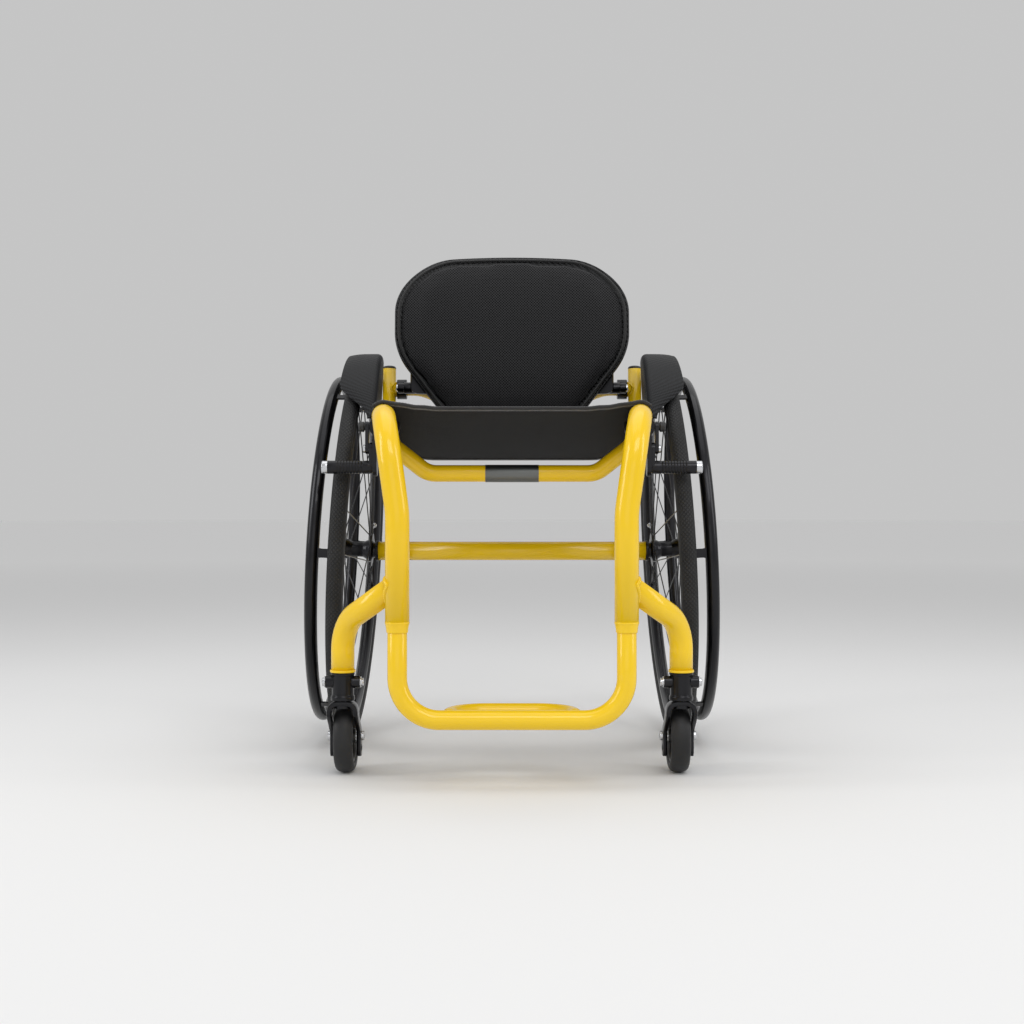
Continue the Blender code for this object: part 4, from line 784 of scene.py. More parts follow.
# %% Rubber finishes
def rubber(name, colour, roughness, ribs, tread_pitch, start, end):
    """Rubber with ribs round the wheel and a cross-hatched tread between two heights of its section."""
    material, shader, place = new_finish(name, colour, roughness, specular=0.35)
    tree = material.node_tree
    spot = add_node(tree, "ShaderNodeSeparateXYZ", Vector=place.outputs["UV"])
    along = maths(tree, "MULTIPLY", spot.outputs["X"], ribs)
    height = spot.outputs["Y"]
    aside = maths(tree, "DIVIDE", height, tread_pitch)
    hatch = maths(tree, "MAXIMUM", maths(tree, "PINGPONG", maths(tree, "ADD", along, aside), 0.5),
                  maths(tree, "PINGPONG", maths(tree, "SUBTRACT", along, aside), 0.5))
    on_tread = maths(tree, "MULTIPLY", maths(tree, "GREATER_THAN", height, start),
                     maths(tree, "LESS_THAN", height, end))
    sunk = maths(tree, "MULTIPLY", soft_step(tree, hatch, 0.30, 0.46), on_tread)
    to_edge = [maths(tree, "ABSOLUTE", maths(tree, "SUBTRACT", height, edge)) for edge in (start, end)]
    shoulder = soft_step(tree, maths(tree, "MINIMUM", *to_edge), 0.0003, 0.0011)
    raised = maths(tree, "MULTIPLY", maths(tree, "SUBTRACT", 1.0, sunk), shoulder)
    fine = maths(tree, "MULTIPLY", grain(place, 900.0, detail=2.0), 0.18)
    raise_surface(shader, maths(tree, "ADD", raised, fine), 0.0011)
    # painted shade: the tread's grooves and the shoulder lines are painted darker, over a random mottle of
    # wear
    groove_shade_and_wear = maths(tree, "ADD", maths(tree, "MULTIPLY", raised, 0.30),
                 maths(tree, "MULTIPLY", grain(place, 26.0), 0.60))
    colour_between(shader, groove_shade_and_wear, *shades_of(colour))
    rough_between(shader, grain(place, 140.0), roughness - 0.08, roughness + 0.08)
    return material


# The tread lies between 22 and 46 mm round the tyre's section. The caster's tyre has none.
tyre_rubber = rubber("tyre_rubber", (0.017, 0.017, 0.0175), 0.60, 300.0, 0.0058, 0.022, 0.046)
caster_rubber = rubber("caster_rubber", (0.012, 0.012, 0.0125), 0.50, 60.0, 0.5, 0.0, 0.0)
black_plastic, shader, place = new_finish("moulded_black_plastic", (0.018, 0.018, 0.019), 0.42,
                                          specular=0.45)
rough_between(shader, grain(place, 90.0), 0.36, 0.52)
raise_surface(shader, grain(place, 1400.0, detail=2.0), 0.00004)
print("rubbers:", tyre_rubber.name, caster_rubber.name, "and", black_plastic.name)

# %% [markdown]
# ## Rear wheels
# A cambered wheel is easiest to make lying flat, in its own frame: Z along the axle, X up. One matrix
# then leans it 3 degrees and puts it on its axle. Tyre, rim and push ring are lathe work, the tyre
# with bead lines and a shoulder line pressed into its walls.

# %% Wheel frame and tyre
OUTWARDS = Vector((math.cos(CAMBER), 0, math.sin(CAMBER)))
UPWARDS = Vector((-math.sin(CAMBER), 0, math.cos(CAMBER)))
TURNED_UP = Matrix((UPWARDS, OUTWARDS.cross(UPWARDS), OUTWARDS)).transposed().to_4x4()
WHEEL = Matrix.Translation(WHEEL_CENTRE) @ TURNED_UP
WHEEL_SIDES = 160
CAD_FLAT = math.cos(math.pi / 32)     # the CAD wheel has 32 flats, and this one fits inside them
TYRE_RADIUS = 0.305 * CAD_FLAT
TYRE_SECTION = 0.0125
TYRE_MIDDLE = TYRE_RADIUS - TYRE_SECTION
BEAD_ANGLE = math.radians(150)
WALL_LINES = (math.radians(78), math.radians(128))
TYRE_STEPS = 64


def tyre_corner(angle):
    """A corner of the tyre's section at an angle from its crown, with the lines moulded in its walls."""
    lines = sum(math.exp(-((abs(angle) - line) / 0.035) ** 2) for line in WALL_LINES)
    skin = TYRE_SECTION - 0.0004 * lines - 0.00025 * (1 - math.cos(angle)) / 2
    return (TYRE_MIDDLE + skin * math.cos(angle), skin * math.sin(angle))


tyre_corners = [tyre_corner(BEAD_ANGLE * (2 * index / TYRE_STEPS - 1)) for index in range(TYRE_STEPS + 1)]
tyre_mesh = turned_with_map("slick_tyre", tyre_corners, WHEEL, tyre_rubber, WHEEL_SIDES, 0.0001, 1)
both_sides("slick_tyre", tyre_mesh, "wheel_{side}", "tyre")
print("tyre", len(tyre_mesh.polygons), "faces")

# %% Rim
RIM_BED = TYRE_MIDDLE + TYRE_SECTION * math.cos(BEAD_ANGLE) - 0.0003
RIM_INNER = RIM_BED - 0.0164
RIM_HALF = 0.0095
half_rim = [(RIM_BED, 0.0060), (RIM_BED + 0.0012, 0.0079), (RIM_BED - 0.0005, RIM_HALF),
            (RIM_BED - 0.0080, RIM_HALF), (RIM_INNER + 0.0022, 0.0062), (RIM_INNER, 0.0040)]
rim_mesh = turned_pair("deep_rim", even_section(half_rim), WHEEL, black_anodised, "wheel_{side}", "rim",
                       sides=WHEEL_SIDES, ease=0.0012, ring=True)
print("rim", len(rim_mesh.polygons), "faces")

# %% [markdown]
# ## Spokes
# The spokes run from alternate flanges of the hub, each leaning round it, and end in nipples that
# stand out of the rim. The tree lays a ring of spokes: it copies one spoke line round the axle, and
# draws a thin tube and a nipple along each copy.

# %% Spoke tree
spoke_tree, spoke_in = start_tree("laced_spokes", Radius=0.0009, Nipple=0.0019, Count=12)
marks = add_node(spoke_tree, "GeometryNodeMeshLine", Count=spoke_in["Count"], Offset=(0, 0, 0))
order = spoke_tree.nodes.new("GeometryNodeInputIndex").outputs[0]
share = maths(spoke_tree, "DIVIDE", order, spoke_in["Count"])
turn = add_node(spoke_tree, "ShaderNodeCombineXYZ", Z=maths(spoke_tree, "MULTIPLY", share, 2 * math.pi))
turn = add_node(spoke_tree, "FunctionNodeEulerToRotation", Euler=turn)
spread = add_node(spoke_tree, "GeometryNodeInstanceOnPoints", Points=marks, Instance=spoke_in["Geometry"],
                  Rotation=turn)
spread = add_node(spoke_tree, "GeometryNodeRealizeInstances", Geometry=spread)
lines = add_node(spoke_tree, "GeometryNodeMeshToCurve", Mesh=spread)
wires = drawn_round(spoke_tree, lines, spoke_in["Radius"], caps=True)
ends = add_node(spoke_tree, "GeometryNodeTrimCurve", {"mode": "LENGTH"}, Curve=lines, i4=0.0, i5=0.0115)
nipples = drawn_round(spoke_tree, ends, spoke_in["Nipple"], caps=True)
both = add_node(spoke_tree, "GeometryNodeJoinGeometry", Geometry=wires)
spoke_tree.links.new(nipples.outputs[0], both.inputs[0])
end_tree(spoke_tree, both, spoke_in)
print("spoke tree:", len(spoke_tree.nodes), "nodes")

# %% Hub and spokes
FLANGE_OFFSET = 0.022
FLANGE_RADIUS = 0.0265
HUB_HALF = 0.030
SPOKES_A_FLANGE = 12
PITCH = math.pi / SPOKES_A_FLANGE
LACING = math.radians(52)             # how far a spoke runs round its hub


def on_wheel(radius, turn, height):
    """A spot given round the wheel's axle, in the wheel's own frame."""
    return (radius * math.cos(turn), radius * math.sin(turn), height)


rings_of_spokes = []
for flange, middle in ((1, PITCH * 0.5), (-1, PITCH * 1.5)):
    for lean in (1, -1):
        rim_turn = middle + PITCH / 2 * lean
        line = [on_wheel(RIM_INNER, rim_turn, flange * 0.002),
                on_wheel(FLANGE_RADIUS - 0.003, rim_turn + lean * LACING,
                         flange * (FLANGE_OFFSET + 0.0012 * lean))]
        rings_of_spokes.append(grow("laced_spokes", spoke_tree, line_mesh(line), blackened_steel,
                                    Count=SPOKES_A_FLANGE // 2))
spoke_mesh = merged(*rings_of_spokes)
spoke_mesh.transform(WHEEL)
half_hub = [(0.0068, HUB_HALF), (0.0122, HUB_HALF), (0.0125, 0.0250), (FLANGE_RADIUS, 0.0236),
            (FLANGE_RADIUS, 0.0204), (0.0165, 0.0192), (0.0150, 0.0140), (0.0120, 0.0090)]
turned_pair("wheel_hub", even_section(half_hub), WHEEL, black_anodised, "wheel_{side}", "spoked_hub",
            sides=72, ease=0.0008, ring=True)
both_sides("laced_spokes", spoke_mesh, "wheel_{side}")
print("spokes on one wheel:", 2 * SPOKES_A_FLANGE, "faces:", len(spoke_mesh.polygons))

# %% Valve
TO_THE_AXLE = Matrix.Rotation(math.radians(-90), 4, "Y")
valve_spot = Matrix.Rotation(math.radians(-82), 4, "Z") @ Matrix.Translation((RIM_INNER - 0.0005, 0, 0))
valve_corners = [(0, 0.034), (0.0022, 0.034), (0.0026, 0.026), (0.0021, 0.024), (0.0021, 0.004),
                 (0.0046, 0.004), (0.0046, 0.0), (0, 0)]
turned_pair("tyre_valve", valve_corners, WHEEL @ valve_spot @ TO_THE_AXLE, polished_steel, "wheel_{side}",
            sides=20, ease=0.0004)
print("valve length", valve_corners[0][1])

# %% [markdown]
# ## Push rings
# The push ring is a tube ring carried by six tabs. Each tab is a bent strap from the rim's side to
# the back of the ring, held by a screw, so it is drawn as a strip that widens to a foot at each end.

# %% Push ring with its straps
RING_RADIUS = TYRE_RADIUS - 0.038 * CAD_FLAT
RING_OFFSET = 0.037
RING_TUBE = 0.0095
STRAPS = 6
STRAP_HALF_THICK = 0.0013
STRAP_ROOT = RIM_BED - 0.009
STRAP_LINE = [(STRAP_ROOT - 0.001, RIM_HALF + 0.0001, 0.0085), (STRAP_ROOT - 0.0012, 0.016, 0.0065),
              (STRAP_ROOT - 0.0016, 0.024, 0.0065), (RING_RADIUS + 0.004, RING_OFFSET - 0.0065, 0.0080)]
ring_turns = [2 * math.pi * index / 20 for index in range(20)]
ring_corners = [(RING_RADIUS + RING_TUBE * math.cos(turn), RING_OFFSET + RING_TUBE * math.sin(turn))
                for turn in ring_turns]
ring_mesh = turned("push_ring", ring_corners, WHEEL, black_anodised, sides=WHEEL_SIDES, ease=0.0003,
                   ring=True)


def strap(turn):
    """One strap from the rim to the ring, with its screw, as two meshes."""
    bm = bmesh.new()
    capped(bm, [[bm.verts.new((radius + way * STRAP_HALF_THICK, side * half, height))
                 for side, way in ((-1, 1), (1, 1), (1, -1), (-1, -1))]
                for radius, height, half in STRAP_LINE])
    bevelled(bm, bm.edges, 0.0004)
    place = WHEEL @ Matrix.Rotation(turn, 4, "Z")
    head = place @ Matrix.Translation((STRAP_ROOT - 0.0027, 0, 0.0175)) @ TO_THE_AXLE
    return (built("strap", bm, black_anodised, place),
            hex_bolt(head, 0.0030, 0.0022, polished_steel))


straps = [strap(2 * math.pi * (index + 0.5) / STRAPS) for index in range(STRAPS)]
both_sides("push_ring", merged(ring_mesh, *[tab for tab, screw in straps]), "wheel_{side}", "handrim")
both_sides("strap_screws", merged(*[screw for tab, screw in straps]), "wheel_{side}")
print("straps on one ring:", len(straps))

# %% [markdown]
# ## Axle pins
# Each wheel hangs on a quick-release axle: a steel pin through the hub with a sprung button in its
# cap. The camber plugs that take the pins keep their CAD shape and get a finish of their own.

# %% Axle pins and their buttons
CAP = HUB_HALF + 0.0003
pin_corners = [(0, -0.070), (0.0060, -0.070), (0.0062, CAP), (0.0105, CAP), (0.0105, CAP + 0.006),
               (0.0049, CAP + 0.006), (0.0049, CAP + 0.0013), (0, CAP + 0.0013)]
turned_pair("axle_pin_turned", pin_corners, WHEEL, polished_steel, "frame", "axle_pin", ease=0.0008)
turned_pair("push_button", ring_section(0, 0.0045, CAP + 0.0046, CAP + 0.0102), WHEEL, polished_steel,
            "button_{side}", "axle_button", ease=0.0010)
refinish(black_anodised, "camber_plug")
print("cap's seat at", round(CAP, 4), "from the wheel's middle")

# %% [markdown]
# ## Casters
# The arm stands on a bearing housing with a cross barrel through it, which sets the caster's angle.
# Below it the fork turns: two legs from a round boss, trailing to the axle bolt. The wheel is a black
# moulded core with five spokes and a slim soft tyre. Bearings and stem keep their CAD shape.

# %% Caster housing and barrel
HOUSING_LOW = 0.105
BARREL_Z = 0.130
housing_corners = [(0, ARM_MOUTH - 0.0003), (0.0165, ARM_MOUTH - 0.0003), (0.0165, 0.1400), (0.0150, 0.1385),
                   (0.0150, 0.1120), (0.0165, 0.1105), (0.0165, HOUSING_LOW), (0.0128, HOUSING_LOW),
                   (0.0128, 0.1070), (0.0070, 0.1070), (0.0070, 0.1100), (0, 0.1100)]
housing = turned("caster_housing_body", housing_corners, caster_place(), black_anodised, ease=0.0012)
barrel_axis = facing(caster_place(z=BARREL_Z).translation, ACROSS)
barrel = turned("barrel", ring_section(0, 0.0085, -0.024, 0.024), barrel_axis, black_anodised, ease=0.0016)
both_sides("caster_housing_body", merged(housing, barrel), "frame", "caster_housing")
bolts = []
for way in (1, -1):
    head = facing(caster_place(x=way * 0.0239, z=BARREL_Z).translation, (way, 0, 0))
    bolts += [turned("washer", ring_section(0, 0.0076, 0, 0.0011), head, polished_steel, ease=0.0003),
              hex_bolt(lifted(head, 0.0010), 0.0058, 0.0036, polished_steel)]
both_sides("angle_bolts", merged(*bolts), "frame")
refinish(polished_steel, "caster_bearing", "caster_stem")
print("housing from", HOUSING_LOW, "to", ARM_MOUTH)

# %% Fork
FORK_INNER = 0.0155
FORK_OUTER = 0.0215
FORK_HALF_DEPTH = 0.0105
LEG_END = 0.0205
LEG_TOP = 0.083
TRAIL_STARTS = 0.0885                 # the legs bend back between this height and the axle's
TRAIL = 0.040
CASTER_RADIUS = 0.0508
CASTER_AXLE = Vector((CASTER_X, CASTER_Y + TRAIL, middle_height("caster_axle_left")))


def fork_section(x_out, z_out, x_in, z_in, depth):
    """A row of points across the fork: the four corners of its section, each cut back a little."""
    lean = min(1.0, max(0.0, (TRAIL_STARTS - z_out) / (TRAIL_STARTS - CASTER_RADIUS)))
    middle = TRAIL * (lean * lean * (3 - 2 * lean))
    flat = [Vector((x_out, middle - depth, z_out)), Vector((x_out, middle + depth, z_out)),
            Vector((x_in, middle + depth, z_in)), Vector((x_in, middle - depth, z_in))]
    return [point + Vector((CASTER_X, CASTER_Y, 0)) for point in eased(flat, 0.0016, steps=2, ring=True)]


leg = []
for index in range(15):
    z = 0.0225 + (LEG_TOP - 0.0225) * index / 14
    share = min(1.0, (z - LEG_END) / 0.012)     # the foot of the leg is round, then its sides run straight
    depth = FORK_HALF_DEPTH * min(1.0, math.sqrt(share * (2 - share)) + 0.05)
    leg.append((FORK_OUTER, z, FORK_INNER, z, depth))
crown = []
for index in range(21):
    turn = math.pi * index / 20
    across = math.copysign(abs(math.cos(turn)) ** 0.65, math.cos(turn))
    rise = max(0.0, math.sin(turn)) ** 0.65
    crown.append((FORK_OUTER * across, LEG_TOP + 0.0213 * rise, FORK_INNER * across, LEG_TOP + 0.0155 * rise,
                  0.0115 + 0.0025 * rise))
other_leg = [(-x_out, z_out, -x_in, z_in, depth) for x_out, z_out, x_in, z_in, depth in reversed(leg)]
bm = bmesh.new()
capped(bm, [[bm.verts.new(point) for point in fork_section(*section)] for section in leg + crown + other_leg])
fork = built("caster_fork_body", bm, black_anodised)
boss_corners = [(0, 0.094), (0.0125, 0.094), (0.0125, 0.1043), (0.0085, 0.1043), (0.0085, 0.1036),
                (0, 0.1036)]
boss = turned("boss", boss_corners, caster_place(), black_anodised, ease=0.0010)
both_sides("caster_fork_body", merged(fork, boss), "fork_{side}", "caster_fork")
print("caster axle", rounded(CASTER_AXLE))

# %% Caster axle with its heads, and a ring at the spare axle hole
CASTER_WHEEL = facing(CASTER_AXLE, ACROSS)
axle_parts = []
spare_rings = []
for way in (1, -1):
    head = facing(CASTER_AXLE + Vector((way * (FORK_OUTER + 0.0002), 0, 0)), (way, 0, 0))
    axle_parts.append(hex_bolt(head, 0.0066, 0.0040, polished_steel))
    hole = facing((CASTER_X + way * FORK_OUTER, CASTER_Y + TRAIL - 0.0005, 0.0335), (way, 0, 0))
    spare_rings.append(turned("spare_ring", ring_section(0.0030, 0.0046, 0, 0.0006), hole, black_anodised,
                              sides=32, ease=0.0002, ring=True))
axle_parts.append(turned("caster_rod", ring_section(0, 0.0039, -0.022, 0.022), CASTER_WHEEL, polished_steel,
                         sides=32))
both_sides("caster_axle_bolt", merged(*axle_parts), "fork_{side}", "caster_axle")
both_sides("spare_rings", merged(*spare_rings), "fork_{side}")
print("a rod, its heads and the rings on each fork:", len(axle_parts) + len(spare_rings))

# %% Caster wheel and tyre
CORE_SPOKES = 5
CORE_SPOKE = ((0.0095, 0.0046, 0.0090), (0.0205, 0.0030, 0.0072), (0.0328, 0.0044, 0.0086))
tyre_half = [(0.0372, 0.0117), (0.0400, 0.0132), (0.0440, 0.0136), (0.0478, 0.0112), (0.0497, 0.0072),
             (0.0507, 0.0028)]
caster_tyre = turned_with_map("caster_ring", even_section(tyre_half), CASTER_WHEEL, caster_rubber, 96,
                              0.0022, 4)
both_sides("caster_ring", caster_tyre, "caster_{side}", "caster_tyre")
rim_half = [(0.0318, 0.0085), (0.0330, 0.0113), (0.0365, 0.0113), (0.0368, 0.0100)]
hub_half = [(0.0042, 0.0135), (0.0098, 0.0135), (0.0105, 0.0110), (0.0108, 0.0)]
core_parts = [turned(name, section, CASTER_WHEEL, black_plastic, ring=True, sides=sides)
              for name, section, sides in (("core_rim", even_section(rim_half), 96),
                                           ("core_hub", even_section(hub_half), 64),
                                           ("core_web", ring_section(0.0100, 0.0325, 0.0016, -0.0016), 96))]
bm = bmesh.new()
for index in range(CORE_SPOKES):
    place = CASTER_WHEEL @ Matrix.Rotation(2 * math.pi * index / CORE_SPOKES, 4, "Z")
    rows = [[bm.verts.new(place @ Vector((radius, side * half_width, way * half_depth)))
             for side, way in ((-1, -1), (1, -1), (1, 1), (-1, 1))]
            for radius, half_width, half_depth in CORE_SPOKE]
    bridged(bm, rows)
    bm.faces.new(list(reversed(rows[0])))
    bm.faces.new(rows[-1])
bevelled(bm, bm.edges, 0.0007)
core_parts.append(built("core_spokes", bm, black_plastic))
both_sides("caster_core", merged(*core_parts), "caster_{side}", "caster_wheel")
bearing_faces = [turned("bearing_face", ring_section(0.0042, 0.0078, 0.0134, 0.0139),
                        CASTER_WHEEL @ Matrix.Rotation(turn, 4, "X"), polished_steel, ring=True, sides=40,
                        ease=0.0002) for turn in (0, math.pi)]
both_sides("caster_bearing_faces", merged(*bearing_faces), "caster_{side}")
print("caster core:", CORE_SPOKES, "spokes, tyre", len(caster_tyre.polygons), "faces")

# %% [markdown]
# ## Seat sling
# The seat is one panel of heavy black nylon, stretched over both rails and screwed to them. Its shape
# follows the rails: a round hug over each tube, then a soft drop to a middle that sags 10 mm. Its map
# is in metres of cloth, which keeps the weave the same size all over.

# %% Woven nylon
def weave(tree, coordinates, axes, pitch):
    """A spot's place in a weave: how many threads along and across, their steps and their round backs."""
    spot = add_node(tree, "ShaderNodeSeparateXYZ", Vector=coordinates)
    ways = [maths(tree, "DIVIDE", spot.outputs[axis], pitch) for axis in axes]
    step = maths(tree, "ADD", *[maths(tree, "FLOOR", way) for way in ways])
    backs = [maths(tree, "SINE", maths(tree, "MULTIPLY", maths(tree, "FRACT", way), math.pi))
             for way in ways]
    return ways, step, backs


def woven(name, colour, pitch, depth, roughness, sheen, specular):
    """A plain weave on the cloth's own map: threads over and under in turn."""
    material, shader, place = new_finish(name, colour, roughness, specular=specular)
    shader.inputs["Sheen Weight"].default_value = sheen
    shader.inputs["Sheen Roughness"].default_value = 0.45
    tree = material.node_tree
    step, (round_warp, round_weft) = weave(tree, place.outputs["UV"], "XY", pitch)[1:]
    over = maths(tree, "PINGPONG", step, 1.0)
    high = maths(tree, "MULTIPLY", over, maths(tree, "SUBTRACT", round_warp, round_weft))
    height = maths(tree, "ADD", round_weft, high)
    raise_surface(shader, height, depth)
    # painted shade: the colour is darker where a thread dips under the next and paler on its round back, over
    # a random cloudy tone
    shade = maths(tree, "ADD", maths(tree, "MULTIPLY", height, 0.5),
                  maths(tree, "MULTIPLY", grain(place, 30.0), 0.4))
    colour_between(shader, shade, *shades_of(colour))
    return material


seat_nylon = woven("seat_nylon", (0.0075, 0.0075, 0.0080), 0.0014, 0.00035, roughness=0.80, sheen=0.03,
                   specular=0.10)
binding_tape = woven("binding_tape", (0.012, 0.012, 0.0125), 0.0009, 0.00025, roughness=0.50, sheen=0.25,
                     specular=0.35)
thread, shader, place = new_finish("grey_thread", (0.060, 0.060, 0.062), 0.50, specular=0.4)
rough_between(shader, grain(place, 800.0), 0.45, 0.7)
print("cloths:", seat_nylon.name, binding_tape.name, "and", thread.name)

# %% A line across the sling
SLING_FRONT = FRONT_Y + 0.07
SLING_BACK = REAR_AXLE_Y + 0.03
SLING_LENGTH = SLING_BACK - SLING_FRONT
SLING_THICK = 0.0026
SLING_OVER = MAIN_RADIUS + 0.0006 + 0.003
SLING_ROWS = 60
WRAP_OUT = math.radians(44)
WRAP_IN = math.radians(8)
WRAP_STEPS = 8
INNER_STEPS = 26
SLOPE_WIDTH = 0.078                   # the cloth falls from the rail's hug to its level over this width


def sling_line(y, lift=0.0):
    """Points across the top of the sling at a distance y along the chair, from the right to the left."""
    rail = rail_at(y)
    reach = SLING_OVER + lift
    hug = []
    for index in range(WRAP_STEPS + 1):
        angle = -WRAP_IN + (WRAP_OUT + WRAP_IN) * index / WRAP_STEPS
        hug.append(Vector((rail.x + reach * math.sin(angle), y, rail.z + reach * math.cos(angle))))
    start = hug[0]
    sag = 0.0100 - 0.0012 * math.cos(math.pi * (y - SLING_FRONT) / SLING_LENGTH)
    level = rail.z + SLING_OVER - sag + lift
    inner = []
    for index in range(INNER_STEPS):
        x = start.x * index / INNER_STEPS
        share = min(1.0, max(0.0, (x - start.x + SLOPE_WIDTH) / SLOPE_WIDTH))
        pull = 0.0005 * math.sin(x * 210 + 14 * y) * share * (1 - share) * 4
        inner.append(Vector((x, y, level + (start.z - level) * share ** 1.7 + pull)))
    half = inner + hug
    return [Vector((-point.x, point.y, point.z)) for point in reversed(half[1:])] + half


print("points across the sling:", len(sling_line(SLING_FRONT)))

# %% Sling panel
def cloth_strip(name, lines, finish, thickness):
    """A cloth from rows of points, mapped in metres, with a real thickness below its top face."""
    middle = len(lines[0]) // 2
    along = distances([line[middle] for line in lines])
    across = []
    for line in lines:
        lengths = distances(line)
        across.append([length - lengths[middle] for length in lengths])
    bm = bmesh.new()
    chart = bm.loops.layers.uv.new("cloth")
    rows = [[bm.verts.new(point) for point in line] for line in lines]
    for i in range(len(rows) - 1):
        for j in range(len(rows[i]) - 1):
            spots = ((i, j), (i, j + 1), (i + 1, j + 1), (i + 1, j))
            mapped_face(bm, chart, rows, spots, [(across[a][b], along[a]) for a, b in spots])
    area = sum(face.calc_area() for face in bm.faces)
    thing = in_scene(name, as_mesh(name, bm, finish))
    add_wall(thing, thickness)
    width = max(line[-1] - line[0] for line in across)
    return smooth(baked(thing), 50), (width, along[-1], area)


sling_lines = [sling_line(SLING_FRONT + SLING_LENGTH * row / SLING_ROWS) for row in range(SLING_ROWS + 1)]
sling_mesh, (cut_width, cut_length, cut_area) = cloth_strip("sling_cloth", sling_lines, seat_nylon,
                                                            SLING_THICK)
sling = piece("sling_cloth", sling_mesh, "frame", "seat_sling")
print("sling cut", round(cut_width, 4), "by", round(cut_length, 4), "area", round(cut_area, 4))

# %% [markdown]
# ## Binding, stitches and screws
# A folded tape covers the raw front and rear edges of the panel, which is the pale double line that
# the front of the seat shows. Stitches follow the tape and the two hems beside the rails. One tree
# sets a short thread on a line again and again, and turns each one along the line.

# %% Binding tape
# The tape's section, as distances in from the panel's edge and above its top.
TAPE_SECTION = [(0.010, 0.0007), (0.0085, 0.0010), (0.004, 0.0011), (0.0, 0.0011), (-0.0012, 0.0004),
                (-0.0016, -0.0009), (-0.0016, -0.0021), (-0.0012, -0.0032), (0.0, -0.0038),
                (0.004, -0.0038), (0.0085, -0.0036), (0.010, -0.0032)]


def binding(name, y, inward):
    """A folded tape over the edge of the sling at y, reaching inward over its top and underside."""
    lines = []
    for reach, lift in TAPE_SECTION:
        line = sling_line(y + inward * max(reach, 0.0), lift)
        for point in line:
            point.y += inward * min(reach, 0.0)
        lines.append(line)
    if inward > 0:
        lines.reverse()
    return piece(name, cloth_strip("edge_binding", lines, binding_tape, 0.0004)[0], "frame")


tapes = [binding("front_binding", SLING_FRONT, 1), binding("rear_binding", SLING_BACK, -1)]
print("binding tapes:", len(tapes))

# %% Stitch tree
stitch_tree, stitch_in = start_tree("stitches", Pitch=0.0042, Thread=0.00055)
seam = add_node(stitch_tree, "GeometryNodeMeshToCurve", Mesh=stitch_in["Geometry"])
spots = add_node(stitch_tree, "GeometryNodeCurveToPoints", {"mode": "LENGTH"}, Curve=seam,
                 Length=stitch_in["Pitch"])
bead = add_node(stitch_tree, "GeometryNodeMeshIcoSphere", Radius=stitch_in["Thread"], Subdivisions=1)
long = add_node(stitch_tree, "GeometryNodeTransform", Geometry=bead, Scale=(1, 1, 3.0))
laid = add_node(stitch_tree, "GeometryNodeInstanceOnPoints", Points=spots, Instance=long,
                Rotation=spots.outputs["Rotation"])
end_tree(stitch_tree, laid, stitch_in)
print("stitch tree:", len(stitch_tree.nodes), "nodes")

# %% Stitches along the tapes and the hems
FACES_A_STITCH = 20


def hem_line(inner):
    """A line on top of the sling, at a distance inside the middle of the left rail."""
    line = []
    for index in range(81):
        y = SLING_FRONT + 0.010 + (SLING_LENGTH - 0.020) * index / 80
        across = [point for point in sling_line(y, 0.0002) if point.x > 0]
        target = rail_at(y).x - inner
        for near, far in zip(across, across[1:]):
            if near.x <= target <= far.x:
                line.append(near.lerp(far, (target - near.x) / (far.x - near.x)))
    return line


seam_lines = [sling_line(y + inward * reach, lift) for y, inward in ((SLING_FRONT, 1), (SLING_BACK, -1))
              for reach, lift in ((0.0085, 0.0012), (0.0028, 0.0014), (0.0085, -0.0039))]
hems = [hem_line(inner) for inner in (0.0235, 0.0275)]
seam_lines += [[(side * x, y, z) for x, y, z in hem] for side in (1, -1) for hem in hems]
seams = [grow("stitch_row", stitch_tree, line_mesh(line), thread) for line in seam_lines]
stitching = piece("sling_stitches", merged(*seams), "frame")
print("stitches:", len(stitching.data.polygons) // FACES_A_STITCH)

# %% Screws along the rails
SCREWS_A_RAIL = 6
SCREW_LEAN = math.radians(33)
screw_way = Vector((math.sin(SCREW_LEAN), 0, math.cos(SCREW_LEAN)))
cup_corners = [(0, 0), (0.0062, 0), (0.0050, 0.0012), (0, 0.0012)]
screws = []
for index in range(SCREWS_A_RAIL):
    rail = rail_at(SLING_FRONT + 0.028 + (SLING_LENGTH - 0.060) * index / (SCREWS_A_RAIL - 1))
    seat_of = facing(rail + screw_way * (SLING_OVER - 0.0002), screw_way)
    screws += [turned("cup_washer", cup_corners, seat_of, blackened_steel, sides=32, ease=0.0004),
               hex_bolt(lifted(seat_of, 0.0010), 0.0040, 0.0013, blackened_steel)]
both_sides("sling_screws", merged(*screws), "frame")
print("screws along each rail:", SCREWS_A_RAIL)

# %% [markdown]
# ## Carbon fibre
# Twill carbon is woven from flat bundles of fibre, each passing over two and under two of the others,
# one step further in every row, which draws the diagonals. Warp and weft mirror the light differently,
# so the tree works out which one is on top at each spot, gives it a painted sheen as a paler tone, and tilts
# its bump.

# %% Carbon twill
def mixed(tree, share, low, high):
    """A number that goes from low to high as the share goes from 0 to 1."""
    return add_node(tree, "ShaderNodeMix", {"data_type": "FLOAT"}, i0=share, i2=low, i3=high).outputs[0]


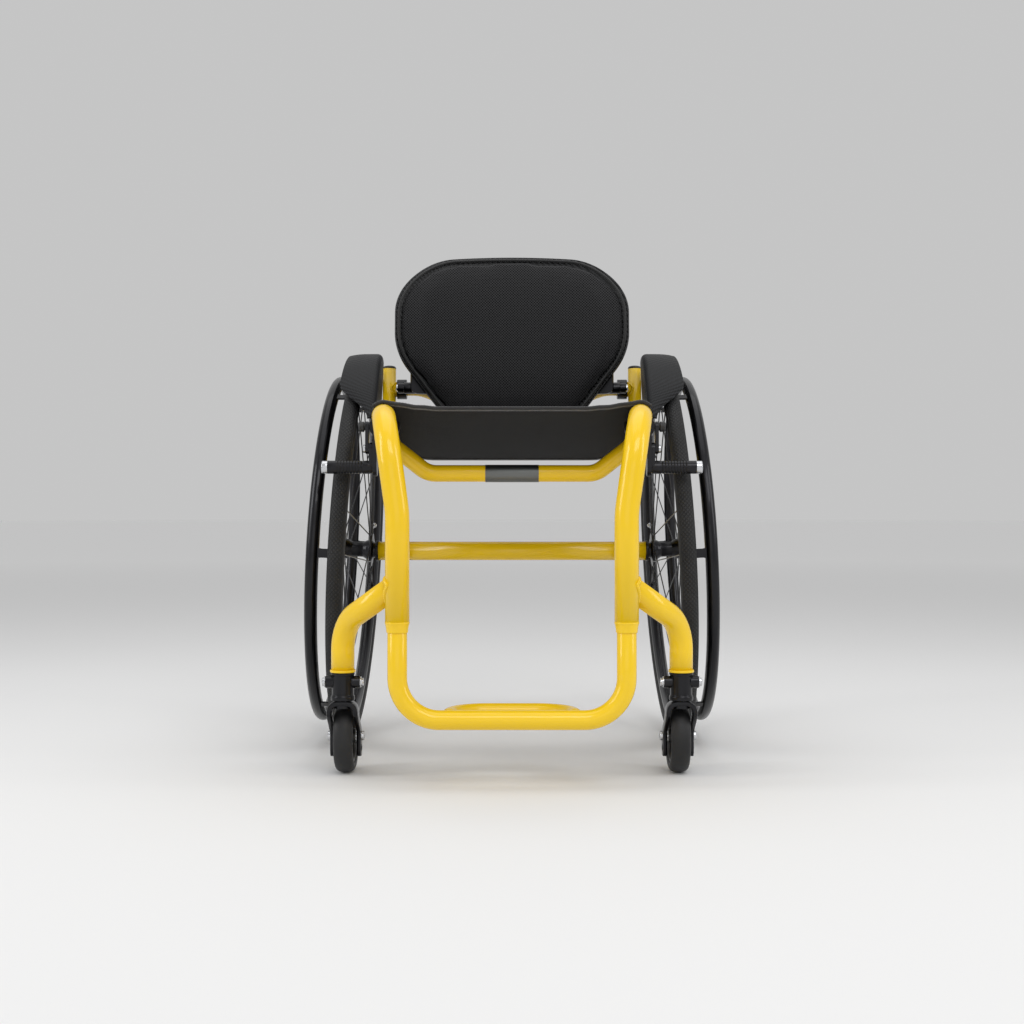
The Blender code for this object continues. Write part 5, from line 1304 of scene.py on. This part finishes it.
def twill(name, source, axes, tow, relief, coat, specular, rough):
    """Carbon twill laid on two axes of the object, or of the piece's own map in metres."""
    material, shader, place = new_finish(name, (0.012, 0.012, 0.013), 0.34, coat=coat, specular=specular)
    tree = material.node_tree
    (warp, weft), step, (round_warp, round_weft) = weave(tree, place.outputs[source], axes, tow)
    on_top = maths(tree, "LESS_THAN", maths(tree, "FLOORED_MODULO", step, 4.0), 1.5)
    fibres = []
    for across, along in ((0.7, 9.0), (9.0, 0.7)):
        strands = add_node(tree, "ShaderNodeCombineXYZ", X=maths(tree, "MULTIPLY", warp, across),
                           Y=maths(tree, "MULTIPLY", weft, along))
        fibres.append(add_node(tree, "ShaderNodeTexNoise", {"noise_dimensions": "2D"}, Vector=strands,
                               Scale=1.0, Detail=2.0).outputs["Fac"])
    # painted sheen: the bundle on top is painted paler, standing in for the light it mirrors, with streaks
    # along its fibres
    tone = maths(tree, "ADD", maths(tree, "MULTIPLY", on_top, 0.42),
                 maths(tree, "MULTIPLY", mixed(tree, on_top, *fibres), 0.55))
    colour_between(shader, tone, (0.0030, 0.0030, 0.0033), (0.026, 0.027, 0.029))
    rough_between(shader, on_top, *rough)
    raise_surface(shader, mixed(tree, on_top, round_weft, round_warp), relief)
    return material


guard_carbon = twill("guard_carbon", "UV", "XY", tow=0.0028, relief=0.00018, coat=0.0, specular=0.14,
                     rough=(0.42, 0.64))
shell_carbon = twill("shell_carbon", "Object", "XZ", tow=0.0022, relief=0.00012, coat=0.22, specular=0.28,
                     rough=(0.26, 0.52))
print("carbon finishes:", guard_carbon.name, shell_carbon.name)

# %% [markdown]
# ## Back shell
# The backrest is a thin carbon shell that wraps forward at the sides. Its face is one formula: depth
# grows with the square of the distance from the middle. Its rounded outline is drawn as a bent line,
# and rows across it make the sheet, which then gets its wall and a rounded rim.

# %% Face and outline of the shell
PIVOT_Y = BAR_Y - 0.026
BACK_LEAN = math.tan(math.radians(5))
SHELL_HALF = 0.189
SHELL_WRAP = 0.050
SHELL_LOW = -0.054                    # this height and the next two are given from the pivot
SHELL_WIDE = 0.056
SHELL_HIGH = 0.217
EAR_INNER = 0.158


def shell_face(x, z):
    """Depth of the shell's front face."""
    lean = (z - PIVOT_Z) * BACK_LEAN
    return PIVOT_Y - 0.0138 + lean - SHELL_WRAP * (x * x - EAR_INNER ** 2) / SHELL_HALF ** 2


def crowned(x, z):
    """Height of a spot once the top edge is bowed, so that it falls towards its rounded corners."""
    share = max(0.0, (z - PIVOT_Z - SHELL_WIDE) / (SHELL_HIGH - SHELL_WIDE))
    return z + (0.004 - 0.020 * (x / SHELL_HALF) ** 2) * share ** 2


def on_shell(x, z, behind=0.0):
    """A spot on the shell's front face, or at a distance behind it."""
    return Vector((x, shell_face(x, z) + behind, crowned(x, z)))


def back_outline(inset=0.0):
    """Half-widths and heights of the shell's outline, from its bottom edge to its top edge."""
    corners = [(0, 0, SHELL_LOW + inset), (0.105 - inset / 2, 0, SHELL_LOW + inset),
               (SHELL_HALF - inset, 0, SHELL_WIDE + inset / 2), (SHELL_HALF - inset, 0, SHELL_HIGH - inset),
               (0, 0, SHELL_HIGH - inset)]
    points = bent(corners, [0.040, 0.100, 0.092], math.radians(4))[1:-1]
    dense = [points[0]]
    for point in points[1:]:
        start = dense[-1]
        parts = max(1, math.ceil((point - start).length / 0.008))
        dense += [start.lerp(point, part / parts) for part in range(1, parts + 1)]
    return [(point.x, PIVOT_Z + point.z) for point in dense]


print("rows from the shell's bottom to its top:", len(back_outline()))

# %% Back shell
def evenly(half, count):
    """Places from one side of a row to its other side."""
    return [half * (2 * j / count - 1) for j in range(count + 1)]


def walled(sheet, thickness, rim, angle, offset=-1):
    """A sheet with a wall and a rounded rim."""
    thing = in_scene(sheet.name, sheet)
    add_wall(thing, thickness, offset)
    edge = thing.modifiers.new("rim", "BEVEL")
    edge.width = rim
    edge.segments = 3
    edge.limit_method = "ANGLE"
    edge.angle_limit = math.radians(angle)
    return baked(thing)


bm = bmesh.new()
bridged(bm, [[bm.verts.new(on_shell(x, z)) for x in evenly(half, 40)] for half, z in back_outline()],
        closed=False)
shell_mesh = smooth(walled(as_mesh("carbon_shell", bm, shell_carbon), 0.004, 0.0012, 55), 40)
piece("carbon_shell", shell_mesh, "backrest", "back_shell")
print("shell faces:", len(shell_mesh.polygons))

# %% [markdown]
# ## Back pad
# The pad is foam in a spacer mesh: a knit with small staggered holes that catch the light in
# diagonals. It is made as real upholstery is: a slack closed bag, remeshed finely, swollen by a cloth
# simulation, and held back to the shell behind it. The rim is bound with a piping cord afterwards,
# because the remesh would melt it.

# %% Spacer mesh fabric
def spacer_mesh(name, colour, pitch):
    """Knitted mesh with staggered round holes, laid on the plane of X and Z."""
    material, shader, place = new_finish(name, colour, 0.80, specular=0.12)
    shader.inputs["Sheen Weight"].default_value = 0.05
    shader.inputs["Sheen Roughness"].default_value = 0.5
    tree = material.node_tree
    axes = add_node(tree, "ShaderNodeSeparateXYZ", Vector=place.outputs["Object"])
    row = maths(tree, "DIVIDE", axes.outputs["Z"], pitch * 0.5)
    shift = maths(tree, "MULTIPLY", maths(tree, "FLOORED_MODULO", maths(tree, "FLOOR", row), 2.0), 0.5)
    column = maths(tree, "ADD", maths(tree, "DIVIDE", axes.outputs["X"], pitch), shift)
    dx = maths(tree, "SUBTRACT", maths(tree, "FRACT", column), 0.5)
    dz = maths(tree, "MULTIPLY", maths(tree, "SUBTRACT", maths(tree, "FRACT", row), 0.5), 0.5)
    distance = maths(tree, "SQRT", maths(tree, "ADD", maths(tree, "MULTIPLY", dx, dx),
                                         maths(tree, "MULTIPLY", dz, dz)))
    knit = soft_step(tree, distance, 0.18, 0.32)
    facing_front = add_node(tree, "ShaderNodeAttribute", {"attribute_name": "front"}).outputs["Fac"]
    open_cells = maths(tree, "MULTIPLY", maths(tree, "SUBTRACT", 1.0, knit), facing_front)
    yarn = maths(tree, "SUBTRACT", 1.0, open_cells)
    raise_surface(shader, yarn, 0.0009)
    cloudy = maths(tree, "MULTIPLY", grain(place, 11.0), 0.30)
    # painted shade: the open cells are painted near black where the pad faces the front, as shade inside the
    # holes, over a random cloudy tone of the yarn
    hole_shade_and_cloud = maths(tree, "ADD", maths(tree, "MULTIPLY", yarn, 0.75), cloudy)
    colour_between(shader, hole_shade_and_cloud, (0.0008, 0.0008, 0.0009), colour)
    return material


back_mesh_cloth = spacer_mesh("back_spacer_mesh", (0.036, 0.036, 0.0378), 0.0046)
print("back cloth:", back_mesh_cloth.name)

# %% Slack bag
PAD_INSET = 0.0062
PAD_EDGE = 0.0075
PAD_CROWN = 0.0125
PAD_COLUMNS = 44
PAD_OFF = 0.0006                      # between the bag and the shell


def pad_front(x, half, z, bottom, top):
    """Depth of the pad's front face, crowned in the middle and thin at its rim."""
    rise = 2 * (z - bottom) / (top - bottom) - 1
    crown = math.sqrt(max(0.0, 1 - (x / half) ** 4)) * (1 - rise ** 4)
    return shell_face(x, z) - PAD_OFF - PAD_EDGE - PAD_CROWN * crown


def pad_bag():
    """A closed bag of the pad's outline, a little smaller than the finished pad."""
    outline = back_outline(PAD_INSET)
    bottom, top = outline[0][1], outline[-1][1]
    bm = bmesh.new()
    fronts, backs = [], []
    for half, z in outline:
        places = evenly(half, PAD_COLUMNS)
        fronts.append([bm.verts.new((x, pad_front(x, half, z, bottom, top), crowned(x, z)))
                       for x in places])
        backs.append([bm.verts.new(on_shell(x, z, -PAD_OFF)) for x in places])
    for i in range(len(outline) - 1):
        for j in range(PAD_COLUMNS):
            bm.faces.new((fronts[i][j], fronts[i][j + 1], fronts[i + 1][j + 1], fronts[i + 1][j]))
            bm.faces.new((backs[i][j], backs[i + 1][j], backs[i + 1][j + 1], backs[i][j + 1]))
        for j, way in ((0, 1), (PAD_COLUMNS, -1)):
            bm.faces.new([fronts[i][j], fronts[i + 1][j], backs[i + 1][j], backs[i][j]][::way])
    for i, way in ((0, 1), (len(outline) - 1, -1)):
        for j in range(PAD_COLUMNS):
            bm.faces.new([fronts[i][j], backs[i][j], backs[i][j + 1], fronts[i][j + 1]][::way])
    bmesh.ops.recalc_face_normals(bm, faces=bm.faces)
    return as_mesh("pad_bag", bm)


slack_bag = pad_bag()
print("bag:", len(slack_bag.polygons), "faces")

# %% Swelling
PAD_SWELL = 0.0042
SWELL_FRAMES = 20


def swell(name, mesh, cap, voxel=0.005, pressure=4.0):
    """Remesh a bag, blow it up by simulation, and limit how far any point has moved."""
    thing = in_scene(name, mesh)
    remesh = thing.modifiers.new("even_cells", "REMESH")
    remesh.mode = "VOXEL"
    remesh.voxel_size = voxel
    thing.data = evaluated(thing)
    thing.modifiers.clear()
    slack = [vertex.co.copy() for vertex in thing.data.vertices]
    result = thing.data
    cloth = thing.modifiers.new("swell", "CLOTH")
    cloth.settings.use_pressure = True
    cloth.settings.uniform_pressure_force = pressure
    cloth.settings.effector_weights.gravity = 0
    cloth.settings.quality = 6
    for number in range(1, SWELL_FRAMES + 1):
        bpy.context.scene.frame_set(number)
    result = evaluated(thing)
    bpy.context.scene.frame_set(1)
    bpy.data.objects.remove(thing)
    farthest = 0.0
    for vertex, start in zip(result.vertices, slack):
        move = vertex.co - start
        farthest = max(farthest, move.length)
        vertex.co = start + move * min(1.0, cap / max(move.length, 1e-9))
    print(name, len(result.vertices), "points, moved up to", round(farthest, 4))
    return result


pad_mesh = swell("back_pad_cloth", slack_bag, PAD_SWELL)

# %% Pad fitted to the shell
bm = bmesh.new()
bm.from_mesh(pad_mesh)
for _ in range(8):
    bmesh.ops.smooth_vert(bm, verts=bm.verts, factor=0.5, use_axis_x=True, use_axis_y=True, use_axis_z=True)
for vertex in bm.verts:
    vertex.co.y = min(vertex.co.y, shell_face(vertex.co.x, vertex.co.z) - 0.0005)
bmesh.ops.recalc_face_normals(bm, faces=bm.faces)
bm.to_mesh(pad_mesh)
bm.free()
front = pad_mesh.attributes.new("front", "FLOAT", "POINT")
for vertex in pad_mesh.vertices:
    front.data[vertex.index].value = min(1.0, max(0.0, (-vertex.normal.y - 0.60) / 0.20))
pad_mesh.materials.clear()
pad_mesh.materials.append(back_mesh_cloth)
pad_mesh.shade_smooth()
pad = piece("back_pad_cloth", pad_mesh, "backrest", "back_pad")
finer = pad.modifiers.new("finer", "SUBSURF")
finer.levels = finer.render_levels = 1
print("pad:", len(pad_mesh.polygons), "faces before its modifier")

# %% Piping round the pad
rim = back_outline(0.0052)
half, top = rim[-1]
rim += [(half * (1 - step / 10), top) for step in range(1, 11)]
cord = [on_shell(x, z, -0.0042) for x, z in rim]
cord += [(-x, y, z) for x, y, z in reversed(cord) if x > 1e-6]
piping = grow("pad_piping", tube_tree, line_mesh(cord, closed=True), binding_tape, Radius=0.0023, Sides=12)
piece("pad_piping", piping, "backrest")
print("piping round", len(cord), "points")

# %% [markdown]
# ## Brackets and clamps of the back
# A plate with four screws is fixed to each side of the shell's back, and its ear turns on a bolt. The
# bolt is carried by a split clamp round the bowed bar, so that the back can fold forward.

# %% Flat links
LINK_RIM = 0.0008


def bevel_rims(bm, size):
    """Round the edges where two faces meet at more than 60 degrees."""
    bevelled(bm, [edge for edge in bm.edges
                  if len(edge.link_faces) == 2 and edge.calc_face_angle() > math.radians(60)], size)


def link_plate(name, start, end, radius, x, thickness, steps=16):
    """A flat link with round ends between two spots (y, z) of the side view, from x outwards."""
    start, end = Vector(start), Vector(end)
    way = math.atan2(end.y - start.y, end.x - start.x)
    outline = []
    for centre, base in ((end, way - math.pi / 2), (start, way + math.pi / 2)):
        for step in range(steps + 1):
            turn = base + math.pi * step / steps
            outline.append((centre.x + radius * math.cos(turn), centre.y + radius * math.sin(turn), 0))
    bm = bmesh.new()
    face = bm.faces.new([bm.verts.new(corner) for corner in outline])
    extruded = bmesh.ops.extrude_face_region(bm, geom=[face])["geom"]
    top = [item for item in extruded if isinstance(item, bmesh.types.BMVert)]
    bmesh.ops.translate(bm, verts=top, vec=(0, 0, thickness))
    bmesh.ops.recalc_face_normals(bm, faces=bm.faces)
    bevel_rims(bm, LINK_RIM)
    return built(name, bm, black_anodised, Matrix(((0, 0, 1, x), (1, 0, 0, 0), (0, 1, 0, 0), (0, 0, 0, 1))))


print("rims of links are rounded by", LINK_RIM)

# %% Shell brackets
PATCH_INNER = 0.110
PATCH_OUTER = 0.166
PATCH_LOW = PIVOT_Z - 0.010
PATCH_HIGH = PIVOT_Z + 0.034
PATCH_CORNER = 0.010
PATCH_STEPS = 24
PATCH_THICK = 0.004
PIVOT_AXIS = facing((0, PIVOT_Y, PIVOT_Z), ACROSS)


def patch_line(z):
    """One row of the bracket's back, shorter where it meets the rounded corners."""
    beyond = max(0.0, PATCH_CORNER - min(z - PATCH_LOW, PATCH_HIGH - z))
    cut = PATCH_CORNER - math.sqrt(max(0.0, PATCH_CORNER ** 2 - beyond ** 2))
    width = PATCH_INNER - PATCH_OUTER + 2 * cut
    places = [PATCH_OUTER - cut + width * j / PATCH_STEPS for j in range(PATCH_STEPS + 1)]
    return [Vector((x, shell_face(x, z) + 0.0043 + PATCH_THICK, z)) for x in places]


patch_lines = [patch_line(PATCH_LOW + (PATCH_HIGH - PATCH_LOW) * row / PATCH_STEPS)
               for row in range(PATCH_STEPS + 1)]
patch = cloth_strip("bracket_patch", patch_lines, black_anodised, PATCH_THICK)[0]
ear = turned("ear", ring_section(0.0045, 0.0095, EAR_INNER, 0.1767), PIVOT_AXIS, black_anodised, ring=True,
             ease=0.0008)
both_sides("shell_bracket", merged(patch, ear), "backrest", "back_bracket")
patch_screws = [(Vector((x, shell_face(x, z) + 0.0082, z)),
                 Vector((2 * SHELL_WRAP * x / SHELL_HALF ** 2, 1, -BACK_LEAN)), 0.0042, 0.0022)
                for x in (PATCH_INNER + 0.010, PATCH_OUTER - 0.016)
                for z in (PATCH_LOW + 0.032, PATCH_HIGH - 0.031)]
both_sides("patch_screws", merged(*bolt_heads(polished_steel, *patch_screws)), "backrest")
print("screws in each bracket:", len(patch_screws))

# %% Split clamps on the bowed bar
clamp_ring = turned("clamp_ring", ring_section(BAR_RADIUS + 0.0002, 0.0163, 0.174, 0.190),
                    facing((0, BAR_Y, PIVOT_Z), ACROSS), black_anodised, ring=True, ease=0.0012)
link = link_plate("link", (PIVOT_Y, PIVOT_Z), (BAR_Y - 0.006, PIVOT_Z), 0.0085, 0.177, 0.010)
lug = link_plate("lug", (BAR_Y + 0.012, PIVOT_Z - 0.004), (BAR_Y + 0.0175, PIVOT_Z - 0.004), 0.0062, 0.176,
                 0.012)
both_sides("bar_clamp", merged(clamp_ring, link, lug), "frame", "back_clamp")
pivot_rod = turned("pivot_rod", ring_section(0, 0.0039, 0.1575, 0.1870), PIVOT_AXIS, polished_steel, sides=32)
heads = bolt_heads(polished_steel, ((0.1578, PIVOT_Y, PIVOT_Z), (-1, 0, 0), 0.0058, 0.0030),
                   ((0.1868, PIVOT_Y, PIVOT_Z), ACROSS, 0.0060, 0.0030),
                   ((0.182, BAR_Y + 0.0165, PIVOT_Z + 0.0022), (0, 0, 1), 0.0034, 0.0030))
both_sides("clamp_bolts", merged(pivot_rod, *heads), "frame")
print("pivot at", rounded((PIVOT_Y, PIVOT_Z)))

# %% Tube plugs
def tube_plug(name, node, point, direction, radius, spigot):
    """Push-in plugs with a shallow domed top and a ring pressed into it, one on each side."""
    section = [(0, -0.008), (spigot, -0.008), (spigot, 0.0002), (radius, 0.0002), (radius, 0.0018),
               (radius * 0.86, 0.0040), (radius * 0.60, 0.0049), (radius * 0.55, 0.0044),
               (radius * 0.50, 0.0049), (0, 0.0054)]
    turned_pair(name, section, facing(point, direction), black_plastic, "frame", node, sides=48, ease=0.0008)


tube_plug("upright_plug", "upright_cap", upright_top, upright_top - upright_foot, UPRIGHT_RADIUS, 0.0086)
tube_plug("rail_plug", "rail_cap", RAIL_END, RAIL_WAY, MAIN_RADIUS, 0.0134)
plug_face = facing((AXLE_TUBE_HALF + 0.0003, REAR_AXLE_Y, AXLE_TUBE_Z), ACROSS)
turned_pair("camber_ring", ring_section(0.0068, 0.0165, 0, 0.0040), plug_face, black_anodised, "frame",
            ring=True)
print("plugs: 4, camber rings: 2")

# %% [markdown]
# ## Side guards
# Each guard is one carbon moulding: a panel outside the rail that turns outwards over the tyre as a
# mudguard. Its columns all follow one rule, so it is lofted from many of them, given its wall, and its
# rim is rounded.

# %% Columns of a guard
GUARD_RADIUS = TYRE_RADIUS + 0.0093   # round the wheel's axle
GUARD_FROM = math.radians(39)
GUARD_WIDE = math.radians(54)         # it has its full width from here to its end
GUARD_TO = math.radians(95.5)
GUARD_CORNER = 0.008
GUARD_COLUMNS = 60
GUARD_WALL = 0.0025
PANEL_STEPS = 12
TURN_STEPS = 6


def guard_panel(y, z):
    """A spot on the guard's panel, which leans like the wheel just outside the rail."""
    rail = rail_at(y)
    return Vector((rail.x + MAIN_RADIUS + 0.0005 - (z - rail.z) * math.tan(CAMBER), y, z))


def guard_line(share):
    """One column of the guard, from the rail up, round the corner and out over the tyre."""
    angle = GUARD_FROM + (GUARD_TO - GUARD_FROM) * share
    flare = min(1.0, (angle - GUARD_FROM) / (GUARD_WIDE - GUARD_FROM))
    flare = flare * flare * (3 - 2 * flare)
    way = Vector((0, -math.cos(angle), math.sin(angle)))
    low_y = REAR_AXLE_Y - 0.25 + 0.28 * share
    hub = Vector((0, REAR_AXLE_Y, WHEEL_CENTRE.z))
    low = guard_panel(low_y, rail_at(low_y).z - 0.004)
    arc = hub + way * GUARD_RADIUS
    turn_start = hub + way * (GUARD_RADIUS - GUARD_CORNER)
    high = guard_panel(turn_start.y, turn_start.z)
    points = [low.lerp(high, step / PANEL_STEPS) for step in range(PANEL_STEPS + 1)]
    corner_x = high.x + GUARD_CORNER
    edge_x = corner_x + 0.003 + (HALF_TRACK + 0.0075 - corner_x - 0.003) * flare
    steps = [step / TURN_STEPS for step in range(1, TURN_STEPS + 1)]
    for step in steps:
        turn = math.pi / 2 * step
        point = turn_start + way * GUARD_CORNER * math.sin(turn)
        points.append(Vector((corner_x - GUARD_CORNER * math.cos(turn), point.y, point.z)))
    for step in steps:
        point = Vector((corner_x + (edge_x - corner_x) * step, arc.y, arc.z))
        points.append(point - way * 0.0030 * step ** 4)
    return points


guard_lines = [guard_line(index / GUARD_COLUMNS) for index in range(GUARD_COLUMNS + 1)]
print("guard:", len(guard_lines), "columns of", len(guard_lines[0]), "points")

# %% Side guards
heights = [distances(line[::-1])[::-1] for line in guard_lines]
column_width = (GUARD_TO - GUARD_FROM) / GUARD_COLUMNS * GUARD_RADIUS
bm = bmesh.new()
chart = bm.loops.layers.uv.new("cloth")
columns = [[bm.verts.new(point) for point in line] for line in guard_lines]
for index in range(GUARD_COLUMNS):
    for row in range(len(columns[0]) - 1):
        spots = ((index, row), (index + 1, row), (index + 1, row + 1), (index, row + 1))
        mapped_face(bm, chart, columns, spots, [(i * column_width, heights[i][j]) for i, j in spots])
guard_mesh = walled(as_mesh("guard_sheet", bm, guard_carbon), GUARD_WALL, 0.0008, 60, offset=1)
both_sides("carbon_guard", smooth(guard_mesh, 45), "frame", "side_guard")
guard_screws = [(guard_panel(y, rail_at(y).z + 0.006) + Vector((GUARD_WALL, 0, 0)),
                 (1, 0, math.tan(CAMBER)), 0.0050, 0.0020)
                for y in (REAR_AXLE_Y - 0.19, REAR_AXLE_Y - 0.10, REAR_AXLE_Y - 0.01)]
both_sides("guard_screws", merged(*bolt_heads(blackened_steel, *guard_screws)), "frame")
print("guard faces:", len(guard_mesh.polygons), "screws in each:", len(guard_screws))

# %% [markdown]
# ## Wheel locks
# A push lock hangs under each rail. Its lever swings a bar against the tyre, and a link makes the bar
# turn less than the lever. The bar's outer end is a bright turned cap, the small light that the
# picture shows outside each tyre.

# %% Lock clamp
CLEARANCE = 0.0003
PLATE_THICK = 0.006
LINK_THICK = 0.005
SHOE_Z = 0.426
SHOE_AWAY = TYRE_RADIUS + 0.0082 + 0.0095     # from the wheel's axle: tyre, gap at rest, half the bar
LOCK_Y = REAR_AXLE_Y - math.sqrt(SHOE_AWAY ** 2 - (SHOE_Z - WHEEL_CENTRE.z) ** 2)
PIVOT_LOCK_Z = SHOE_Z + 0.026
LOCK_PIVOT = facing((0, LOCK_Y, PIVOT_LOCK_Z), ACROSS)
lock_rail = rail_at(LOCK_Y)
PLATE_X = lock_rail.x + 0.0103
SHOE_X = PLATE_X + PLATE_THICK + CLEARANCE
LEVER_X = SHOE_X + LINK_THICK + CLEARANCE
HEAD_X = LEVER_X + LINK_THICK + CLEARANCE
SADDLE_OUTER = MAIN_RADIUS + 0.0055
SADDLE_STEPS = 40
rail_way = RAIL_WAY.normalized()
across = Vector(ACROSS)
upward = across.cross(rail_way)


def round_rail(reach, radius, turn):
    """A spot round the rail beside the lock: how far along it, off its middle and round it."""
    return (lock_rail + rail_way * reach + across * radius * math.cos(turn)
            + upward * radius * math.sin(turn))


turns = [math.radians(-196 + 212 * k / SADDLE_STEPS) for k in range(SADDLE_STEPS + 1)]
section = [(MAIN_RADIUS + 0.0002, turn) for turn in turns]
section += [(SADDLE_OUTER, turn) for turn in reversed(turns)]
bm = bmesh.new()
rows = [[bm.verts.new(round_rail(reach, radius, turn)) for radius, turn in section]
        for reach in (-0.012, 0.012)]
bridged(bm, rows)
for row in rows:
    for k in range(SADDLE_STEPS):
        bm.faces.new((row[k], row[k + 1], row[-2 - k], row[-1 - k]))
bmesh.ops.recalc_face_normals(bm, faces=bm.faces)
bevel_rims(bm, 0.0009)
saddle = built("saddle", bm, black_anodised)
lock_plate = link_plate("lock_plate", (LOCK_Y, SHOE_Z), (LOCK_Y, lock_rail.z - 0.013), 0.013, PLATE_X,
                        PLATE_THICK, steps=24)
both_sides("lock_clamp", merged(saddle, lock_plate), "frame", "brake_clamp")
heads = bolt_heads(polished_steel, ((HEAD_X, LOCK_Y, PIVOT_LOCK_Z), ACROSS, 0.0060, 0.0030),
                   ((SHOE_X - CLEARANCE, LOCK_Y - 0.0005, SHOE_Z - 0.006), ACROSS, 0.0030, 0.0016),
                   *[(lock_rail + rail_way * reach - upward * (SADDLE_OUTER - 0.0004), -upward, 0.0038,
                      0.0026) for reach in (-0.007, 0.007)])
lock_rod = turned("lock_rod", ring_section(0, 0.0029, PLATE_X, HEAD_X + 0.001), LOCK_PIVOT, polished_steel,
                  sides=24)
both_sides("lock_bolts", merged(*heads, lock_rod), "frame")
print("lock at y", round(LOCK_Y, 4), "bolt heads in each:", len(heads))

# %% Shoe bar with its grooved grip and bright cap
BAR_END = HALF_TRACK + 0.0195
GRIP_RADIUS = 0.0093
GROOVE_FLOOR = 0.0086
shoe_arm = link_plate("shoe_arm", (LOCK_Y, SHOE_Z), (LOCK_Y, PIVOT_LOCK_Z), 0.009, SHOE_X, LINK_THICK)
bar_axis = facing((0, LOCK_Y, SHOE_Z), ACROSS)
bar_corners = [(0, SHOE_X + 0.001), (GRIP_RADIUS, SHOE_X + 0.001)]
for index in range(9):
    start = SHOE_X + 0.014 + index * 0.0042
    bar_corners += [(GRIP_RADIUS, start), (GROOVE_FLOOR, start + 0.0007), (GROOVE_FLOOR, start + 0.0014),
                    (GRIP_RADIUS, start + 0.0021)]
bar_corners += [(GRIP_RADIUS, BAR_END - 0.0085), (0, BAR_END - 0.0085)]
shoe_bar = turned("shoe_bar", bar_corners, bar_axis, black_anodised, ease=0.0003)
both_sides("shoe_and_bar", merged(shoe_arm, shoe_bar), "shoe_{side}", "brake_shoe")
cap_corners = [(0, BAR_END - 0.0086), (0.0092, BAR_END - 0.0086), (0.0092, BAR_END - 0.0012),
               (0.0080, BAR_END), (0.0042, BAR_END), (0.0038, BAR_END - 0.0016), (0, BAR_END - 0.0016)]
turned_pair("bar_cap", cap_corners, bar_axis, polished_steel, "shoe_{side}", ease=0.0005)
print("bar end x", round(BAR_END, 4))

# %% Lever and knob
LEVER_TOP = PIVOT_LOCK_Z + 0.031
lever_plate = link_plate("lever_plate", (LOCK_Y, PIVOT_LOCK_Z), (LOCK_Y, LEVER_TOP), 0.0075, LEVER_X,
                         LINK_THICK)
both_sides("lock_lever", lever_plate, "lever_{side}", "brake_lever")
knob_corners = [(0, 0.0050), (0.0052, 0.0050), (0.0052, 0.0064), (0.0073, 0.0070), (0.0075, 0.0085),
                (0.0071, 0.0100), (0.0075, 0.0115), (0.0075, 0.0130), (0.0062, 0.0148), (0, 0.0150)]
turned_pair("lever_knob", knob_corners, facing((LEVER_X, LOCK_Y, LEVER_TOP), ACROSS), black_plastic,
            "lever_{side}")
print("lever top", round(LEVER_TOP, 4))

# %% Footrest screws and sleeve mouths
# The end of each side tube is swaged: below a small ridge it closes to the size of the footrest tube.
mouth_section = [(0.0131, -0.0130), (0.0139, -0.0130), (0.0142, -0.0122), (0.0145, -0.0080),
                 (MAIN_RADIUS - 0.0004, -0.0022), (MAIN_RADIUS + 0.0002, -0.0012),
                 (MAIN_RADIUS + 0.0003, 0.0004), (MAIN_RADIUS, 0.0012), (0.0131, 0.0012)]
turned_pair("sleeve_mouth", mouth_section, Matrix.Translation((SLEEVE_X, FRONT_Y, MOUTH_TOP)), yellow_paint,
            "frame", ring=True)
set_screws = bolt_heads(blackened_steel, *[((SLEEVE_X, FRONT_Y + MAIN_RADIUS - 0.0006, SLEEVE_END + above),
                                            (0, 1, 0), 0.0046, 0.0022) for above in (0.018, 0.040)])
both_sides("set_screws", merged(*set_screws), "frame")
print("set screws in each sleeve:", len(set_screws))

# %% [markdown]
# ## Floor and light
# A plain pale floor runs out on every side until it has the tone of the air, so the chair can be seen
# from anywhere without a horizon behind it. One large soft light hangs above the camera, one overhead
# and a weaker one on each side, as for a catalogue picture. A black chair needs wide lights: its
# shape is read mostly from what it mirrors.

# %% Floor
floor_finish, shader, place = new_finish("studio_floor", (0.80, 0.80, 0.80), 0.75, specular=0.2)
away = add_node(floor_finish.node_tree, "ShaderNodeVectorMath", {"operation": "LENGTH"},
                i0=place.outputs["Object"]).outputs["Value"]
fade = add_node(floor_finish.node_tree, "ShaderNodeMapRange", Value=away, From_Min=2.0, From_Max=9.0,
                To_Min=0.3, To_Max=0.7)
colour_between(shader, fade, (0.80, 0.80, 0.80), (0.97, 0.97, 0.97))
rough_between(shader, grain(place, 1.6), 0.70, 0.80)
floor_mesh = turned("studio_floor", [(0, -0.0005), (3, -0.0005), (60, -0.0005)], Matrix(), floor_finish,
                    sides=96, ease=0)
floor = in_scene("studio_floor", floor_mesh)
print("floor:", floor.name)

# %% Lights
MIDDLE = Vector((0, 0, 0.4))


def soft_light(name, place, width, height, power):
    """A rectangular light at a place, aimed at the middle of the chair."""
    data = bpy.data.lights.new(name, "AREA")
    data.shape = "RECTANGLE"
    data.size = width
    data.size_y = height
    data.energy = power
    light = in_scene(name, data)
    light.location = place
    light.rotation_euler = (MIDDLE - light.location).to_track_quat("-Z", "Y").to_euler()


soft_light("key_light", (0.7, -2.6, 2.6), 2.0, 1.3, 28)
soft_light("top_light", (0, 0.1, 2.9), 2.6, 2.6, 21)
soft_light("left_light", (2.4, -0.9, 1.35), 0.7, 1.7, 13)
soft_light("right_light", (-2.4, -0.9, 1.35), 0.7, 1.7, 19)
soft_light("front_light", (0, -3.4, 0.7), 2.2, 1.0, 4)
world = bpy.data.worlds.new("studio_air")
world.use_nodes = True
air = world.node_tree.nodes["Background"].inputs
air["Color"].default_value = (1, 1, 1, 1)
air["Strength"].default_value = 0.56
bpy.context.scene.world = world
print("lights:", len(bpy.data.lights))
